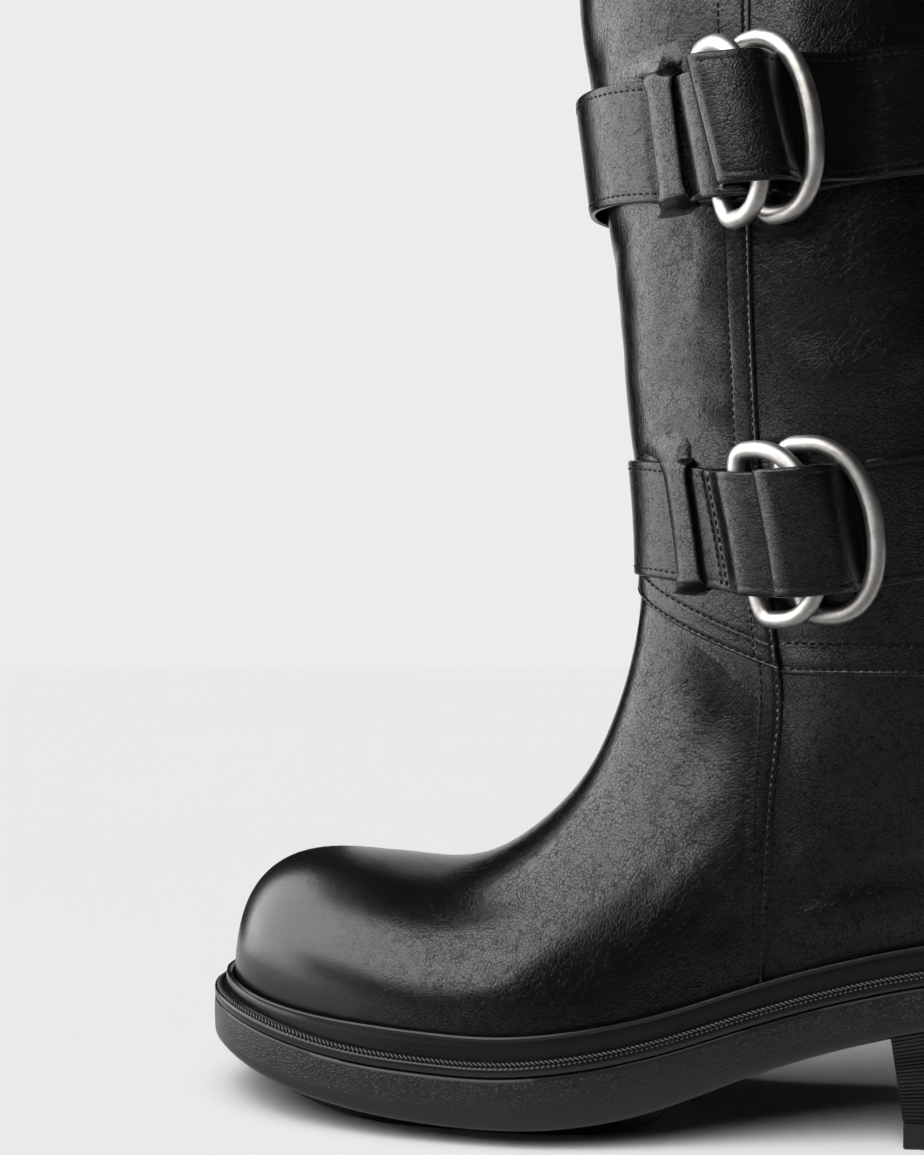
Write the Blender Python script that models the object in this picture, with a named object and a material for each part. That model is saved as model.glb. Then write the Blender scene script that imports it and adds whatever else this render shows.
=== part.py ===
"""Tall leather boot for the left foot: block heel, storm welt, three straps closed with pairs of rings.

Toe to -X, outer side to -Y, up +Z. Sizes below are millimetres; the solids are made in metres.
u: station from the toe of the last, v: side (+ outer), z: height over the floor.
"""
import math

import bmesh
import bpy
import numpy as np

MM = 0.001

# ------------------------------------------------------------------ driving sizes (mm)
LAST_LENGTH = 272.0      # toe to heel along the last bottom
TOE_RADIUS = 33.0        # plan radius of the toe
TOE_RUN = 70.0           # length over which the toe rounds in plan
TOE_BOX = 51.0           # run of the toe cap's rise
TOE_POWER = 2.6          # fullness of the toe cap in side view
HEEL_RUN = 40.0          # length over which the heel rounds in plan
HEEL_POWER = 2.2         # fullness of the heel in plan
HEEL_Z = 58.4            # height of the heel seat
COLLAR_Z = 465.0         # height of the collar
WALL = 2.4               # leather and lining of the upper
BULGE = 1.5              # swell of the upper over its lower edge
GAP = 0.3                # air between pieces
WELT_OUT = 7.5           # sole edge beyond the last
WELT_THICK = 3.0
WELT_IN = 8.0            # welt reaches this far under the last
LIP_HIGH = 7.2           # upstanding lip of the welt
PAD_DEEP = 7.0           # tread pad below the sole's underside
PAD_IN = 8.0
INSOLE_THICK = 3.0
BREAST_TOP = 212.0       # heel breast where it meets the sole
BREAST_FOOT = 217.0      # heel breast at the floor
BREAST_SKEW = 7.0        # heel breast further back on the inner side
TIP_THICK = 8.0          # heel tip
STRAP_HIGH = 37.0
STRAP_THICK = 2.0
STRAP_AIR = 0.6          # strap off the shaft
WIRE = 4.8               # ring wire
RING_HIGH = 50.2         # ring height, wire centre to wire centre
LOOP_WIDE = 9.4
LOOP_THICK = 1.6
LOOP_REACH = 28.0        # loop end above and below the strap's middle
CENTRE_U = 136.0         # station that stands at X = 0
CENTRE_V = 11.2           # side line that stands at Y = 0

# last bottom
LAST_BOTTOM = (
    # station, centre, half_width
    (0.0, -6.0, 0.0),
    (12.0, -5.0, 26.5),
    (40.0, -3.0, 41.0),
    (75.0, 0.0, 45.6),
    (105.0, 3.5, 43.5),
    (148.0, 5.0, 35.0),
    (186.0, 3.0, 30.0),
    (222.0, 0.5, 29.5),
    (272.0, 0.0, 30.0),
)
# side lines of the sole: toe spring, ball, arch, heel seat
SIDE = (
    # station, under, top
    (-8.0, 19.6, 35.4),
    (4.0, 17.0, 33.2),
    (18.0, 13.3, 30.5),
    (45.0, 8.3, 26.3),
    (70.0, 5.9, 24.7),
    (92.0, 5.1, 24.2),
    (120.0, 6.7, 26.9),
    (145.0, 12.1, 32.0),
    (168.0, 20.3, 38.9),
    (212.0, 33.0, 50.4),
    (245.0, 38.8, 56.0),
    (280.0, 41.4, 58.6),
)
# back line of the upper
BACK = (
    # height, station, rounding
    (58.4, 272.0, 40.0),
    (75.0, 274.3, 41.0),
    (100.0, 274.5, 44.0),
    (130.0, 271.0, 48.0),
    (165.0, 267.0, 52.0),
    (200.0, 265.5, 56.0),
    (260.0, 263.6, 60.0),
    (330.0, 260.0, 64.0),
    (400.0, 255.6, 67.0),
    (465.0, 251.5, 70.0),
)
# sections of the upper, toe to collar. ridge: front line; base: way along the sole line to the heel corner, then up the back;
# outer, inner: greatest half widths (0 takes the last bottom); front: share of the section that rounds out; shift: ridge to the side
UPPER = (
    # name, ridge_u, ridge_z, base, outer, inner, front, power, shift
    ("toe_box", 51.0, 79.2, 51.0, 0.0, 0.0, 1.00, 2.25, -4.0),
    ("dip", 76.0, 78.2, 78.0, 0.0, 0.0, 1.00, 2.10, -3.0),
    ("vamp", 98.0, 86.8, 104.0, 0.0, 0.0, 1.00, 2.00, -2.0),
    ("instep", 119.5, 109.2, 148.0, 0.0, 0.0, 1.00, 2.00, -1.0),
    ("instep_high", 132.0, 140.0, 204.0, 35.0, 34.5, 0.90, 2.00, 0.0),
    ("heel_corner", 136.2, 165.0, 272.0, 37.0, 36.5, 0.72, 2.00, 0.0),
    ("ankle", 136.0, 190.0, 325.6, 40.0, 39.5, 0.60, 2.00, 0.0),
    ("gaiter", 133.9, 215.0, 391.6, 43.5, 43.0, 0.53, 2.00, 0.0),
    ("shaft_low", 130.6, 250.0, 451.6, 46.0, 45.5, 0.50, 2.05, 0.0),
    ("shaft_mid", 124.5, 300.0, 510.6, 48.5, 48.0, 0.50, 2.10, 0.0),
    ("calf", 114.8, 375.0, 587.6, 51.0, 50.5, 0.50, 2.10, 0.0),
    ("collar", 103.0, COLLAR_Z, 678.6, 53.0, 52.5, 0.50, 2.10, 0.0),
)
# straps: height of the middle, how far the ring end hangs, slack at the front, loops and front ring by way round the shaft from its front,
# then, from the front ring's bar: far side of the front ring, bar and far side of the rear ring, tail fold; loop height over the shaft
STRAPS = (
    # name, height, sag, slack, loop_at, ring_at, front_far, front_off, rear_bar, rear_far, rear_off, fold, loop_off
    ("low", 191.0, 8.0, 0.0, 31.0, 53.0, 22.0, 14.4, 13.0, 36.0, 10.8, 9.0, 3.9),
    ("mid", 307.0, 7.0, 3.8, 47.3, 60.8, 15.8, 21.5, 10.5, 28.4, 19.0, 3.6, 6.0),
    ("top", 426.0, 7.0, 3.8, 51.5, 65.0, 15.8, 21.5, 10.5, 28.4, 19.0, 3.6, 6.0),
)
SAG_AT = 9.0             # lowest point of the strap, from the front ring's bar
SAG_RUN = 38.0
SLACK_RUN = 28.0
BAR_OFF = 5.6            # ring bars off the shaft, inside the strap fold

LEATHER = (0.012, 0.012, 0.013, 1.0)
STRAP_COLOUR = (0.016, 0.016, 0.017, 1.0)
RUBBER = (0.020, 0.020, 0.020, 1.0)
BOARD = (0.10, 0.085, 0.07, 1.0)
STEEL = (0.62, 0.61, 0.59, 1.0)


# ------------------------------------------------------------------ curves
def spline(xs, ys, level_start=False):
    """Natural cubic through (xs, ys), straight beyond its ends; level_start makes its first slope zero."""
    xs = np.asarray(xs, float)
    ys = np.asarray(ys, float)
    n = len(xs)
    h = np.diff(xs)
    d = np.diff(ys) / h
    a = np.zeros((n, n))
    b = np.zeros(n)
    a[0, 0] = a[-1, -1] = 1.0
    for i in range(1, n - 1):
        a[i, i - 1], a[i, i], a[i, i + 1] = h[i - 1], 2 * (h[i - 1] + h[i]), h[i]
        b[i] = 6 * (d[i] - d[i - 1])
    if level_start:
        a[0, 0], a[0, 1], b[0] = 2 * h[0], h[0], 6 * d[0]
    m = np.linalg.solve(a, b)
    first = d[0] - h[0] * (2 * m[0] + m[1]) / 6
    last = d[-1] + h[-1] * (m[-2] + 2 * m[-1]) / 6

    def at(x):
        x = np.asarray(x, float)
        i = np.clip(np.searchsorted(xs, x) - 1, 0, n - 2)
        t = x - xs[i]
        s = d[i] - h[i] * (2 * m[i] + m[i + 1]) / 6
        inside = ys[i] + t * (s + t * (m[i] / 2 + t * (m[i + 1] - m[i]) / (6 * h[i])))
        return np.where(x < xs[0], ys[0] + t * first, np.where(x > xs[-1], ys[-1] + (x - xs[-1]) * last, inside))

    return at


def column(table, k):
    return np.array([row[k] for row in table], float)


def toe_round(u):
    x = np.clip(np.asarray(u, float) / TOE_RUN, 0, 1)
    return np.sqrt(np.clip(1 - (1 - x) ** 2, 0, 1))


def end_round(u, end, run):
    x = np.clip((u - (end - run)) / run, 0, 1)
    return np.clip(1 - x ** HEEL_POWER, 0, 1) ** (1 / HEEL_POWER)


station = column(LAST_BOTTOM, 0)
fullness = column(LAST_BOTTOM, 2) / np.maximum(toe_round(station), 1e-9)
fullness[0] = math.sqrt(TOE_RADIUS * TOE_RUN)
full_at = spline(station, fullness)
last_centre = spline(station, column(LAST_BOTTOM, 1))
under_z = spline(column(SIDE, 0), column(SIDE, 1))
top_z = spline(column(SIDE, 0), column(SIDE, 2))
back_u = spline(column(BACK, 0), column(BACK, 1))
back_run = spline(column(BACK, 0), column(BACK, 2))


def last_half(u):
    return full_at(u) * toe_round(u)


def feather_z(u):
    return top_z(u) + GAP


def last_point(a):
    """Last bottom by angle: 0 toe, outer side to pi at the heel, inner side back to 2 pi."""
    u = LAST_LENGTH * (1 - np.cos(a)) / 2
    w = last_half(u) * end_round(u, LAST_LENGTH, HEEL_RUN)
    return np.stack([u, last_centre(u) + np.sign(np.sin(a)) * w], -1)


def outline(n, out):
    """Closed plan curve of the last bottom moved outward by out; point k and point n - k face each other."""
    a = 2 * np.pi * np.arange(n) / n
    t = last_point(a + 1e-3) - last_point(a - 1e-3)
    t /= np.linalg.norm(t, axis=1)[:, None]
    return last_point(a) + out * np.stack([-t[:, 1], t[:, 0]], 1)


def side_line(out, side, n=400):
    """One side of the plan curve from toe to heel."""
    p = outline(2 * n, out)
    return p[:n + 1] if side > 0 else np.concatenate([p[:1], p[:n - 1:-1]])


# ------------------------------------------------------------------ upper
ROWS = len(UPPER)
row_at = np.arange(ROWS, dtype=float)
NAMES = ("ridge_u", "ridge_z", "base", "outer", "inner", "front", "power", "shift")
col = {name: column(UPPER, k + 1) for k, name in enumerate(NAMES)}
for name, side in (("outer", 1), ("inner", -1)):
    on_last = np.minimum(col["base"], LAST_LENGTH)
    foot = last_half(on_last) + side * (last_centre(on_last) - col["shift"])
    col[name] = np.where(col[name] == 0, foot, col[name])
curve = {name: spline(row_at, col[name], name == "ridge_z") for name in NAMES}


def upper(t, x, side):
    """Outside of the upper. t: -1 toe tip, 0 toe box ... ROWS - 1 collar; x: 0 ridge ... 1 sole line or back line; side: +1 outer, -1 inner."""
    t, x = np.broadcast_arrays(np.asarray(t, float), np.asarray(x, float))
    cap = t < 0
    tt = np.maximum(t, 0)
    base = curve["base"](tt)
    climbs = base > LAST_LENGTH
    bz = np.where(climbs, HEEL_Z + base - LAST_LENGTH, feather_z(np.minimum(base, LAST_LENGTH)))
    bu = np.where(climbs, back_u(bz), base)
    su, sz, shift = curve["ridge_u"](tt), curve["ridge_z"](tt), curve["shift"](tt)
    front = np.clip(curve["front"](tt), 0.5, 1)
    power = curve["power"](tt)
    mid = curve["outer" if side > 0 else "inner"](tt)
    bb = np.minimum(base, LAST_LENGTH)
    low = np.where(climbs, mid, last_half(bb) + side * (last_centre(bb) - shift))
    # toe cap: upright sections whose ridge falls to the sole line
    th = np.clip(-t, 0, 1) * np.pi / 2
    cu = TOE_BOX * (1 - np.clip(np.sin(th), 0, 1) ** (2 / TOE_POWER))
    ch = (curve["ridge_z"](0.0) - feather_z(TOE_BOX)) * np.clip(np.cos(th), 0, 1) ** (2 / TOE_POWER)
    cs = last_centre(cu) + (curve["shift"](0.0) - last_centre(TOE_BOX)) * np.clip(1 + t, 0, 1) ** 2
    cw = last_half(cu) + side * (last_centre(cu) - cs)
    su, sz = np.where(cap, cu, su), np.where(cap, feather_z(cu) + ch, sz)
    bu, bz = np.where(cap, cu, bu), np.where(cap, feather_z(cu), bz)
    shift, mid, low = np.where(cap, cs, shift), np.where(cap, cw, mid), np.where(cap, cw, low)
    front, power = np.where(cap, 1.0, front), np.where(cap, curve["power"](0.0), power)
    k = (1 - front) / 0.5
    r = (1 - k) * (1 - np.cos(np.pi * x / 2)) + k * (1 - np.cos(np.pi * x)) / 2
    u = su + (bu - su) * r
    z = sz + (bz - sz) * r
    f = np.clip(1 - np.clip(1 - r / front, 0, 1) ** power, 0, 1) ** (1 / power)
    hz = np.maximum(z, HEEL_Z)
    g = end_round(u, back_u(hz), back_run(hz))
    w = mid + (low - mid) * r ** 2.2
    swell = BULGE * np.clip(2 * front - 1, 0, 1) * np.clip(w / 30, 0, 1) * np.sin(np.pi * r) ** 2
    return np.stack([u, shift + side * (w * f + swell) * g, z], -1)


def upper_normal(t, x, side):
    """Outward direction of the upper."""
    e = 2e-3
    t, x = np.broadcast_arrays(np.asarray(t, float), np.asarray(x, float))
    tc, xc = np.clip(t, -0.97, ROWS - 1 - e), np.clip(x, 0.015, 0.985)
    dt = upper(tc + e, xc, side) - upper(tc - e, xc, side)
    dx = upper(tc, xc + e, side) - upper(tc, xc - e, side)
    n = np.cross(dt, dx) * side
    n /= np.linalg.norm(n, axis=-1, keepdims=True)
    mirror = np.array([1.0, 0.0, 1.0])
    on_ridge = (x <= 0)[..., None]
    flat = n * mirror
    flat /= np.maximum(np.linalg.norm(flat, axis=-1, keepdims=True), 1e-9)
    n = np.where(on_ridge, flat, n)
    on_back = ((x >= 1) & (t >= HEEL_ROW))[..., None]
    return np.where(on_back, flat, n)


HEEL_ROW = [row[0] for row in UPPER].index("heel_corner")


# ------------------------------------------------------------------ shaft lines
class Shaft:
    """Plan curves of the shaft at given heights, walked by way round from the front (+ outer side)."""

    def __init__(self, n=120):
        self.x = np.linspace(0, 1, n + 1)
        t = np.linspace(HEEL_ROW - 2.0, ROWS - 1, 420)
        tt, xx = np.meshgrid(t, self.x, indexing="ij")
        self.side = {s: upper(tt, xx, s) for s in (1, -1)}

    def ring(self, z):
        """Points front -> outer -> back -> inner at height z (last point = first point)."""
        halves = []
        for s in (1, -1):
            p = self.side[s]
            halves.append(np.array([[np.interp(z, p[:, j, 2], p[:, j, k]) for k in (0, 1)] for j in range(len(self.x))]))
        return np.concatenate([halves[0], halves[1][::-1][1:]])

    def way(self, z):
        q = self.ring(z)
        return np.concatenate([[0], np.cumsum(np.linalg.norm(np.diff(q, axis=0), axis=1))])

    def at(self, s, z_middle, z):
        """Point and outward direction at way s (measured at z_middle) and height z, straight between the least and greatest z."""
        way = self.way(z_middle)
        s, z = np.broadcast_arrays(np.asarray(s, float), np.asarray(z, float))
        k = np.interp(np.mod(s, way[-1]), way, np.arange(len(way)))
        ends = []
        for level_z in (z.min(), z.max()):
            q = self.ring(level_z)
            t = np.gradient(np.concatenate([q[-2:-1], q, q[1:2]]), axis=0)[1:-1]
            nrm = np.stack([-t[:, 1], t[:, 0]], 1)
            nrm /= np.linalg.norm(nrm, axis=1)[:, None]
            if np.mean((q - q.mean(0)) * nrm) < 0:
                nrm = -nrm
            i = np.arange(len(q))
            ends.append([np.stack([np.interp(k, i, a[:, c]) for c in (0, 1)], -1) for a in (q, nrm)])
        share = ((z - z.min()) / max(z.max() - z.min(), 1e-9))[..., None]
        p, n = (a + (b - a) * share for a, b in zip(*ends))
        return p, n / np.linalg.norm(n, axis=-1, keepdims=True)


# ------------------------------------------------------------------ solids
def place(p):
    p = np.asarray(p, float)
    return np.stack([p[..., 0] - CENTRE_U, CENTRE_V - p[..., 1], p[..., 2]], -1) * MM


def solid(name, points, faces, colour, rough, metal=0.0):
    mesh = bpy.data.meshes.new(name)
    mesh.from_pydata([tuple(p) for p in place(points)], [], faces)
    bm = bmesh.new()
    bm.from_mesh(mesh)
    bmesh.ops.remove_doubles(bm, verts=bm.verts, dist=1e-6)
    bmesh.ops.dissolve_degenerate(bm, edges=bm.edges, dist=1e-7)
    bmesh.ops.recalc_face_normals(bm, faces=bm.faces)
    bm.to_mesh(mesh)
    bm.free()
    mat = bpy.data.materials.new(name)
    mat.use_nodes = True
    bsdf = mat.node_tree.nodes["Principled BSDF"]
    bsdf.inputs["Base Color"].default_value = colour
    bsdf.inputs["Roughness"].default_value = rough
    bsdf.inputs["Metallic"].default_value = metal
    mesh.materials.append(mat)
    ob = bpy.data.objects.new(name, mesh)
    bpy.context.scene.collection.objects.link(ob)
    return ob


def cap_faces(start, n):
    """Strips between facing points of a closed curve of n points."""
    h = n // 2
    faces = [(start, start + 1, start + n - 1)]
    faces += [(start + k, start + k + 1, start + n - k - 1, start + n - k) for k in range(1, h - 1)]
    return faces + [(start + h - 1, start + h, start + h + 1)]


def stack(name, rings, colour, rough):
    """Closed solid through plan curves, the first and last closed over."""
    n = len(rings[0])
    faces = cap_faces(0, n) + cap_faces((len(rings) - 1) * n, n)
    for r in range(len(rings) - 1):
        for k in range(n):
            a, b = r * n + k, r * n + (k + 1) % n
            faces.append((a, b, b + n, a + n))
    return solid(name, np.concatenate(rings), faces, colour, rough)


def tube(name, rings, colour, rough, closed, metal=0.0):
    """Closed solid swept through section loops."""
    m, n = len(rings), len(rings[0])
    faces = []
    for r in range(m if closed else m - 1):
        q = (r + 1) % m
        for k in range(n):
            j = (k + 1) % n
            faces.append((r * n + k, r * n + j, q * n + j, q * n + k))
    if not closed:
        faces += [tuple(range(n)), tuple((m - 1) * n + k for k in range(n))]
    return solid(name, np.concatenate(rings), faces, colour, rough, metal)


def level(p, z):
    return np.column_stack([p, z(p[:, 0])])


# ------------------------------------------------------------------ sole
SOLE_POINTS = 64


def pad_z(u):
    deep = np.interp(u, (4.0, 16.0, 143.0, 148.5), (0.0, PAD_DEEP, PAD_DEEP, 0.0))
    return np.where(deep > 0, np.maximum(under_z(u) - deep, 0.0), under_z(u))


def build_outsole():
    table = (
        # out, height over the station
        (-PAD_IN, pad_z),
        (-PAD_IN + 2.5, under_z),
        (WELT_OUT - 1.4, under_z),
        (WELT_OUT, lambda u: under_z(u) + 1.4),
        (WELT_OUT, lambda u: top_z(u) - WELT_THICK - GAP - 0.8),
        (WELT_OUT - 0.8, lambda u: top_z(u) - WELT_THICK - GAP),
        (-WELT_IN - GAP, lambda u: top_z(u) - WELT_THICK - GAP),
        (-WELT_IN - GAP - 0.3, top_z),
    )
    return stack("outsole", [level(outline(SOLE_POINTS, out), z) for out, z in table], RUBBER, 0.6)


def heel_curve(out, breast, n=13):
    """Heel outline from the breast round the back, outer side first."""
    ends = []
    for side in (1, -1):
        p = side_line(out, side)
        end = p[-1, 0]
        start = breast if side > 0 else breast + BREAST_SKEW
        u = start + (end - start) * np.sin(np.linspace(0, np.pi / 2, n))
        ends.append(np.column_stack([u, np.interp(u, p[:, 0], p[:, 1])]))
    return np.concatenate([ends[0], ends[1][::-1][1:]])


def block(name, curves, colour, rough):
    n = len(curves[0])
    h = n // 2
    faces = []
    for s in (0, (len(curves) - 1) * n):
        faces += [(s + k, s + k + 1, s + n - 2 - k, s + n - 1 - k) for k in range(h - 1)]
        faces.append((s + h - 1, s + h, s + h + 1))
    for r in range(len(curves) - 1):
        for k in range(n):
            a, b = r * n + k, r * n + (k + 1) % n
            faces.append((a, b, b + n, a + n))
    return solid(name, np.concatenate(curves), faces, colour, rough)


def breast_at(z):
    return BREAST_FOOT + (BREAST_TOP - BREAST_FOOT) * z / float(under_z(BREAST_TOP))


def build_heel():
    top = heel_curve(WELT_OUT - 1.0, BREAST_TOP)
    low = heel_curve(WELT_OUT - 3.0, breast_at(TIP_THICK))
    block("heel", [level(top, lambda u: under_z(u) - GAP),
                   level(low, lambda u: 0 * u + TIP_THICK + GAP)], RUBBER, 0.55)
    tip = heel_curve(WELT_OUT - 3.2, breast_at(0.0))
    block("heel_tip", [level(low, lambda u: 0 * u + TIP_THICK), level(tip, lambda u: 0 * u)], RUBBER, 0.7)


def build_welt():
    section = (
        # out, over the sole line
        (-WELT_IN, -WELT_THICK),
        (WELT_OUT - 0.4, -WELT_THICK),
        (WELT_OUT - 0.4, -0.7),
        (4.7, 2.4),
        (4.4, LIP_HIGH - 0.6),
        (3.4, LIP_HIGH),
        (2.9, LIP_HIGH - 0.8),
        (2.9, 0.0),
        (-WELT_IN, 0.0),
    )
    lines = [level(outline(SOLE_POINTS, out), lambda u, dz=dz: top_z(u) + dz) for out, dz in section]
    rings = [np.array([line[k] for line in lines]) for k in range(SOLE_POINTS)]
    return tube("welt", rings, RUBBER, 0.4, True)


def build_insole():
    p = outline(56, -WALL - 1.4)
    return stack("insole", [level(p, lambda u: top_z(u) + GAP), level(p, lambda u: top_z(u) + GAP + INSOLE_THICK)], BOARD, 0.8)


# ------------------------------------------------------------------ upper solid
def build_upper():
    heel = HEEL_ROW
    t = np.concatenate([
        -1 + np.linspace(0, 1, 9)[:-1] ** 1.15,
        np.linspace(0, heel - 1, 3 * (heel - 1) + 1)[:-1],
        heel - 1 + np.sin(np.linspace(0, np.pi / 2, 8))[:-1],
        np.linspace(heel, heel + 3, 10)[:-1],
        np.linspace(heel + 3, ROWS - 1, 8),
    ])
    x = np.linspace(0, 1, 12)
    tt, xx = np.meshgrid(t, x, indexing="ij")
    sheets = []
    for inside in (0, 1):
        halves = []
        for side in (1, -1):
            p = upper(tt, xx, side)
            if inside:
                n = upper_normal(tt, xx, side)
                flat = n * (1, 1, 0)
                flat /= np.linalg.norm(flat, axis=-1, keepdims=True)
                rim = ((xx >= 1) & (tt <= heel)) | (tt >= ROWS - 1)
                n = np.where(rim[..., None], flat, n)
                n[0] = (-1.0, 0.0, 0.0)
                p = p - WALL * n
            halves.append(p)
        sheets.append(np.concatenate([halves[1][:, :0:-1], halves[0]], axis=1))
    rows, cols = sheets[0].shape[:2]
    count = rows * cols
    points = np.concatenate([s.reshape(-1, 3) for s in sheets])
    corner = int(np.argmin(np.abs(t - heel)))
    faces = []

    def vert(sheet, i, j):
        if i == 0:
            j = cols // 2                      # toe tip is one point
        if i >= corner and j == cols - 1:
            j = 0                              # the two sides meet along the back
        return sheet * count + i * cols + j

    for sheet in (0, 1):
        for i in range(rows - 1):
            for j in range(cols - 1):
                f = [vert(sheet, i, j), vert(sheet, i, j + 1), vert(sheet, i + 1, j + 1), vert(sheet, i + 1, j)]
                f = list(dict.fromkeys(f))
                if len(f) > 2:
                    faces.append(f[::-1] if sheet else f)
    for j in range(cols - 1):                  # collar
        faces.append((vert(0, rows - 1, j), vert(0, rows - 1, j + 1), vert(1, rows - 1, j + 1), vert(1, rows - 1, j)))
    for i in range(corner):                    # edge on the sole
        for j in (0, cols - 1):
            f = list(dict.fromkeys([vert(0, i, j), vert(0, i + 1, j), vert(1, i + 1, j), vert(1, i, j)]))
            faces.append(f)
    used = sorted({k for f in faces for k in f})
    new = {k: i for i, k in enumerate(used)}
    return solid("upper", points[used], [tuple(new[k] for k in f) for f in faces], LEATHER, 0.45)


# ------------------------------------------------------------------ straps, rings, loops
def smooth_path(points, step):
    """Evenly spaced points on a rounded curve through the given ones."""
    p = np.asarray(points, float)
    q = np.concatenate([[2 * p[0] - p[1]], p, [2 * p[-1] - p[-2]]])
    out = []
    for i in range(1, len(q) - 2):
        a, b, c, d = q[i - 1:i + 3]
        for t in np.linspace(0, 1, 12, endpoint=False):
            out.append(0.5 * (2 * b + (c - a) * t + (2 * a - 5 * b + 4 * c - d) * t ** 2 + (3 * b - a - 3 * c + d) * t ** 3))
    out.append(p[-1])
    out = np.array(out)
    s = np.concatenate([[0], np.cumsum(np.linalg.norm(np.diff(out, axis=0), axis=1))])
    k = np.linspace(0, s[-1], max(2, int(round(s[-1] / step)) + 1))
    return np.stack([np.interp(k, s, out[:, c]) for c in (0, 1)], 1)


def strap_path(row, round_way):
    """Middle line of one strap as (way from the front ring's bar, off the shaft): sewn end, fold round the ring bars,
    way round the boot, up through both rings, fold, tail."""
    slack, ring_at, af, ao, bb, bf, bo, fold = row[3], *row[5:12]
    low = STRAP_AIR + STRAP_THICK / 2
    top = ao + 4.0
    under = min(12.8, top - 4.2)
    end = [(-8.2, low), (0.0, low), (bb - 4, low), (bb, low), (bb + 2.9, BAR_OFF - 3.0), (bb + 4.1, BAR_OFF), (bb + 2.9, BAR_OFF + 2.9),
           (bb, BAR_OFF + 4.1), (bb / 2, BAR_OFF + 4.3), (0.0, BAR_OFF + 4.2), (-3.2, BAR_OFF + 2.9), (-5.6, BAR_OFF + 0.5),
           (-7.5, 4.5), (-9.3, 3.5), (-11.5, 2.2), (-14.0, low)]
    rise = [(bb + 11.5, low), (bb + 8.7, 1.9), (bb + 7.2, 3.5), (bb + 6.6, 5.7), (bb + 5.7, 8.5), (bb + 4.1, 10.9)]
    turn = [(bb + 1.2, under - 0.2), (fold + 3.6, (under + top) / 2 - 1.8), (fold + 1.0, (under + top) / 2 - 0.9), (fold, (under + top) / 2 + 0.5),
            (fold + 1.3, top - 1.2), (fold + 4.4, top - 0.2), (af - 4, top), (af, top), (af + 3.4, ao + 2.6)]
    fall = [((af + 3.4 + bf - 4.8) / 2, (ao + 2.6 + bo - 3.5) / 2), (bf - 4.8, bo - 3.5), (bf - 2.4, bo - 4.9), (bf, bo - 5.5)]
    lie = low + STRAP_THICK + 0.4
    tail = [(bf + 5, 0.55 * (bo - 5.5) + 0.45 * lie + 0.2), (bf + 10, 0.2 * (bo - 5.5) + 0.8 * lie + 0.1), (bf + 16, lie), (bf + 24, lie), (bf + 36, lie)]
    a = smooth_path(end + [(-17.0, low), (-20.0, low)], 2.6)
    c = smooth_path([(s - round_way, d) for s, d in [(bb + 18.0, low), (bb + 15.0, low)] + rise + turn + fall + tail], 2.6)
    b = np.array([(s, low + slack * math.exp(-((s + ring_at) / SLACK_RUN) ** 2)) for s in np.linspace(a[-1, 0], c[0, 0], 42)])
    return np.concatenate([a, b[1:-1], c])


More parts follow.
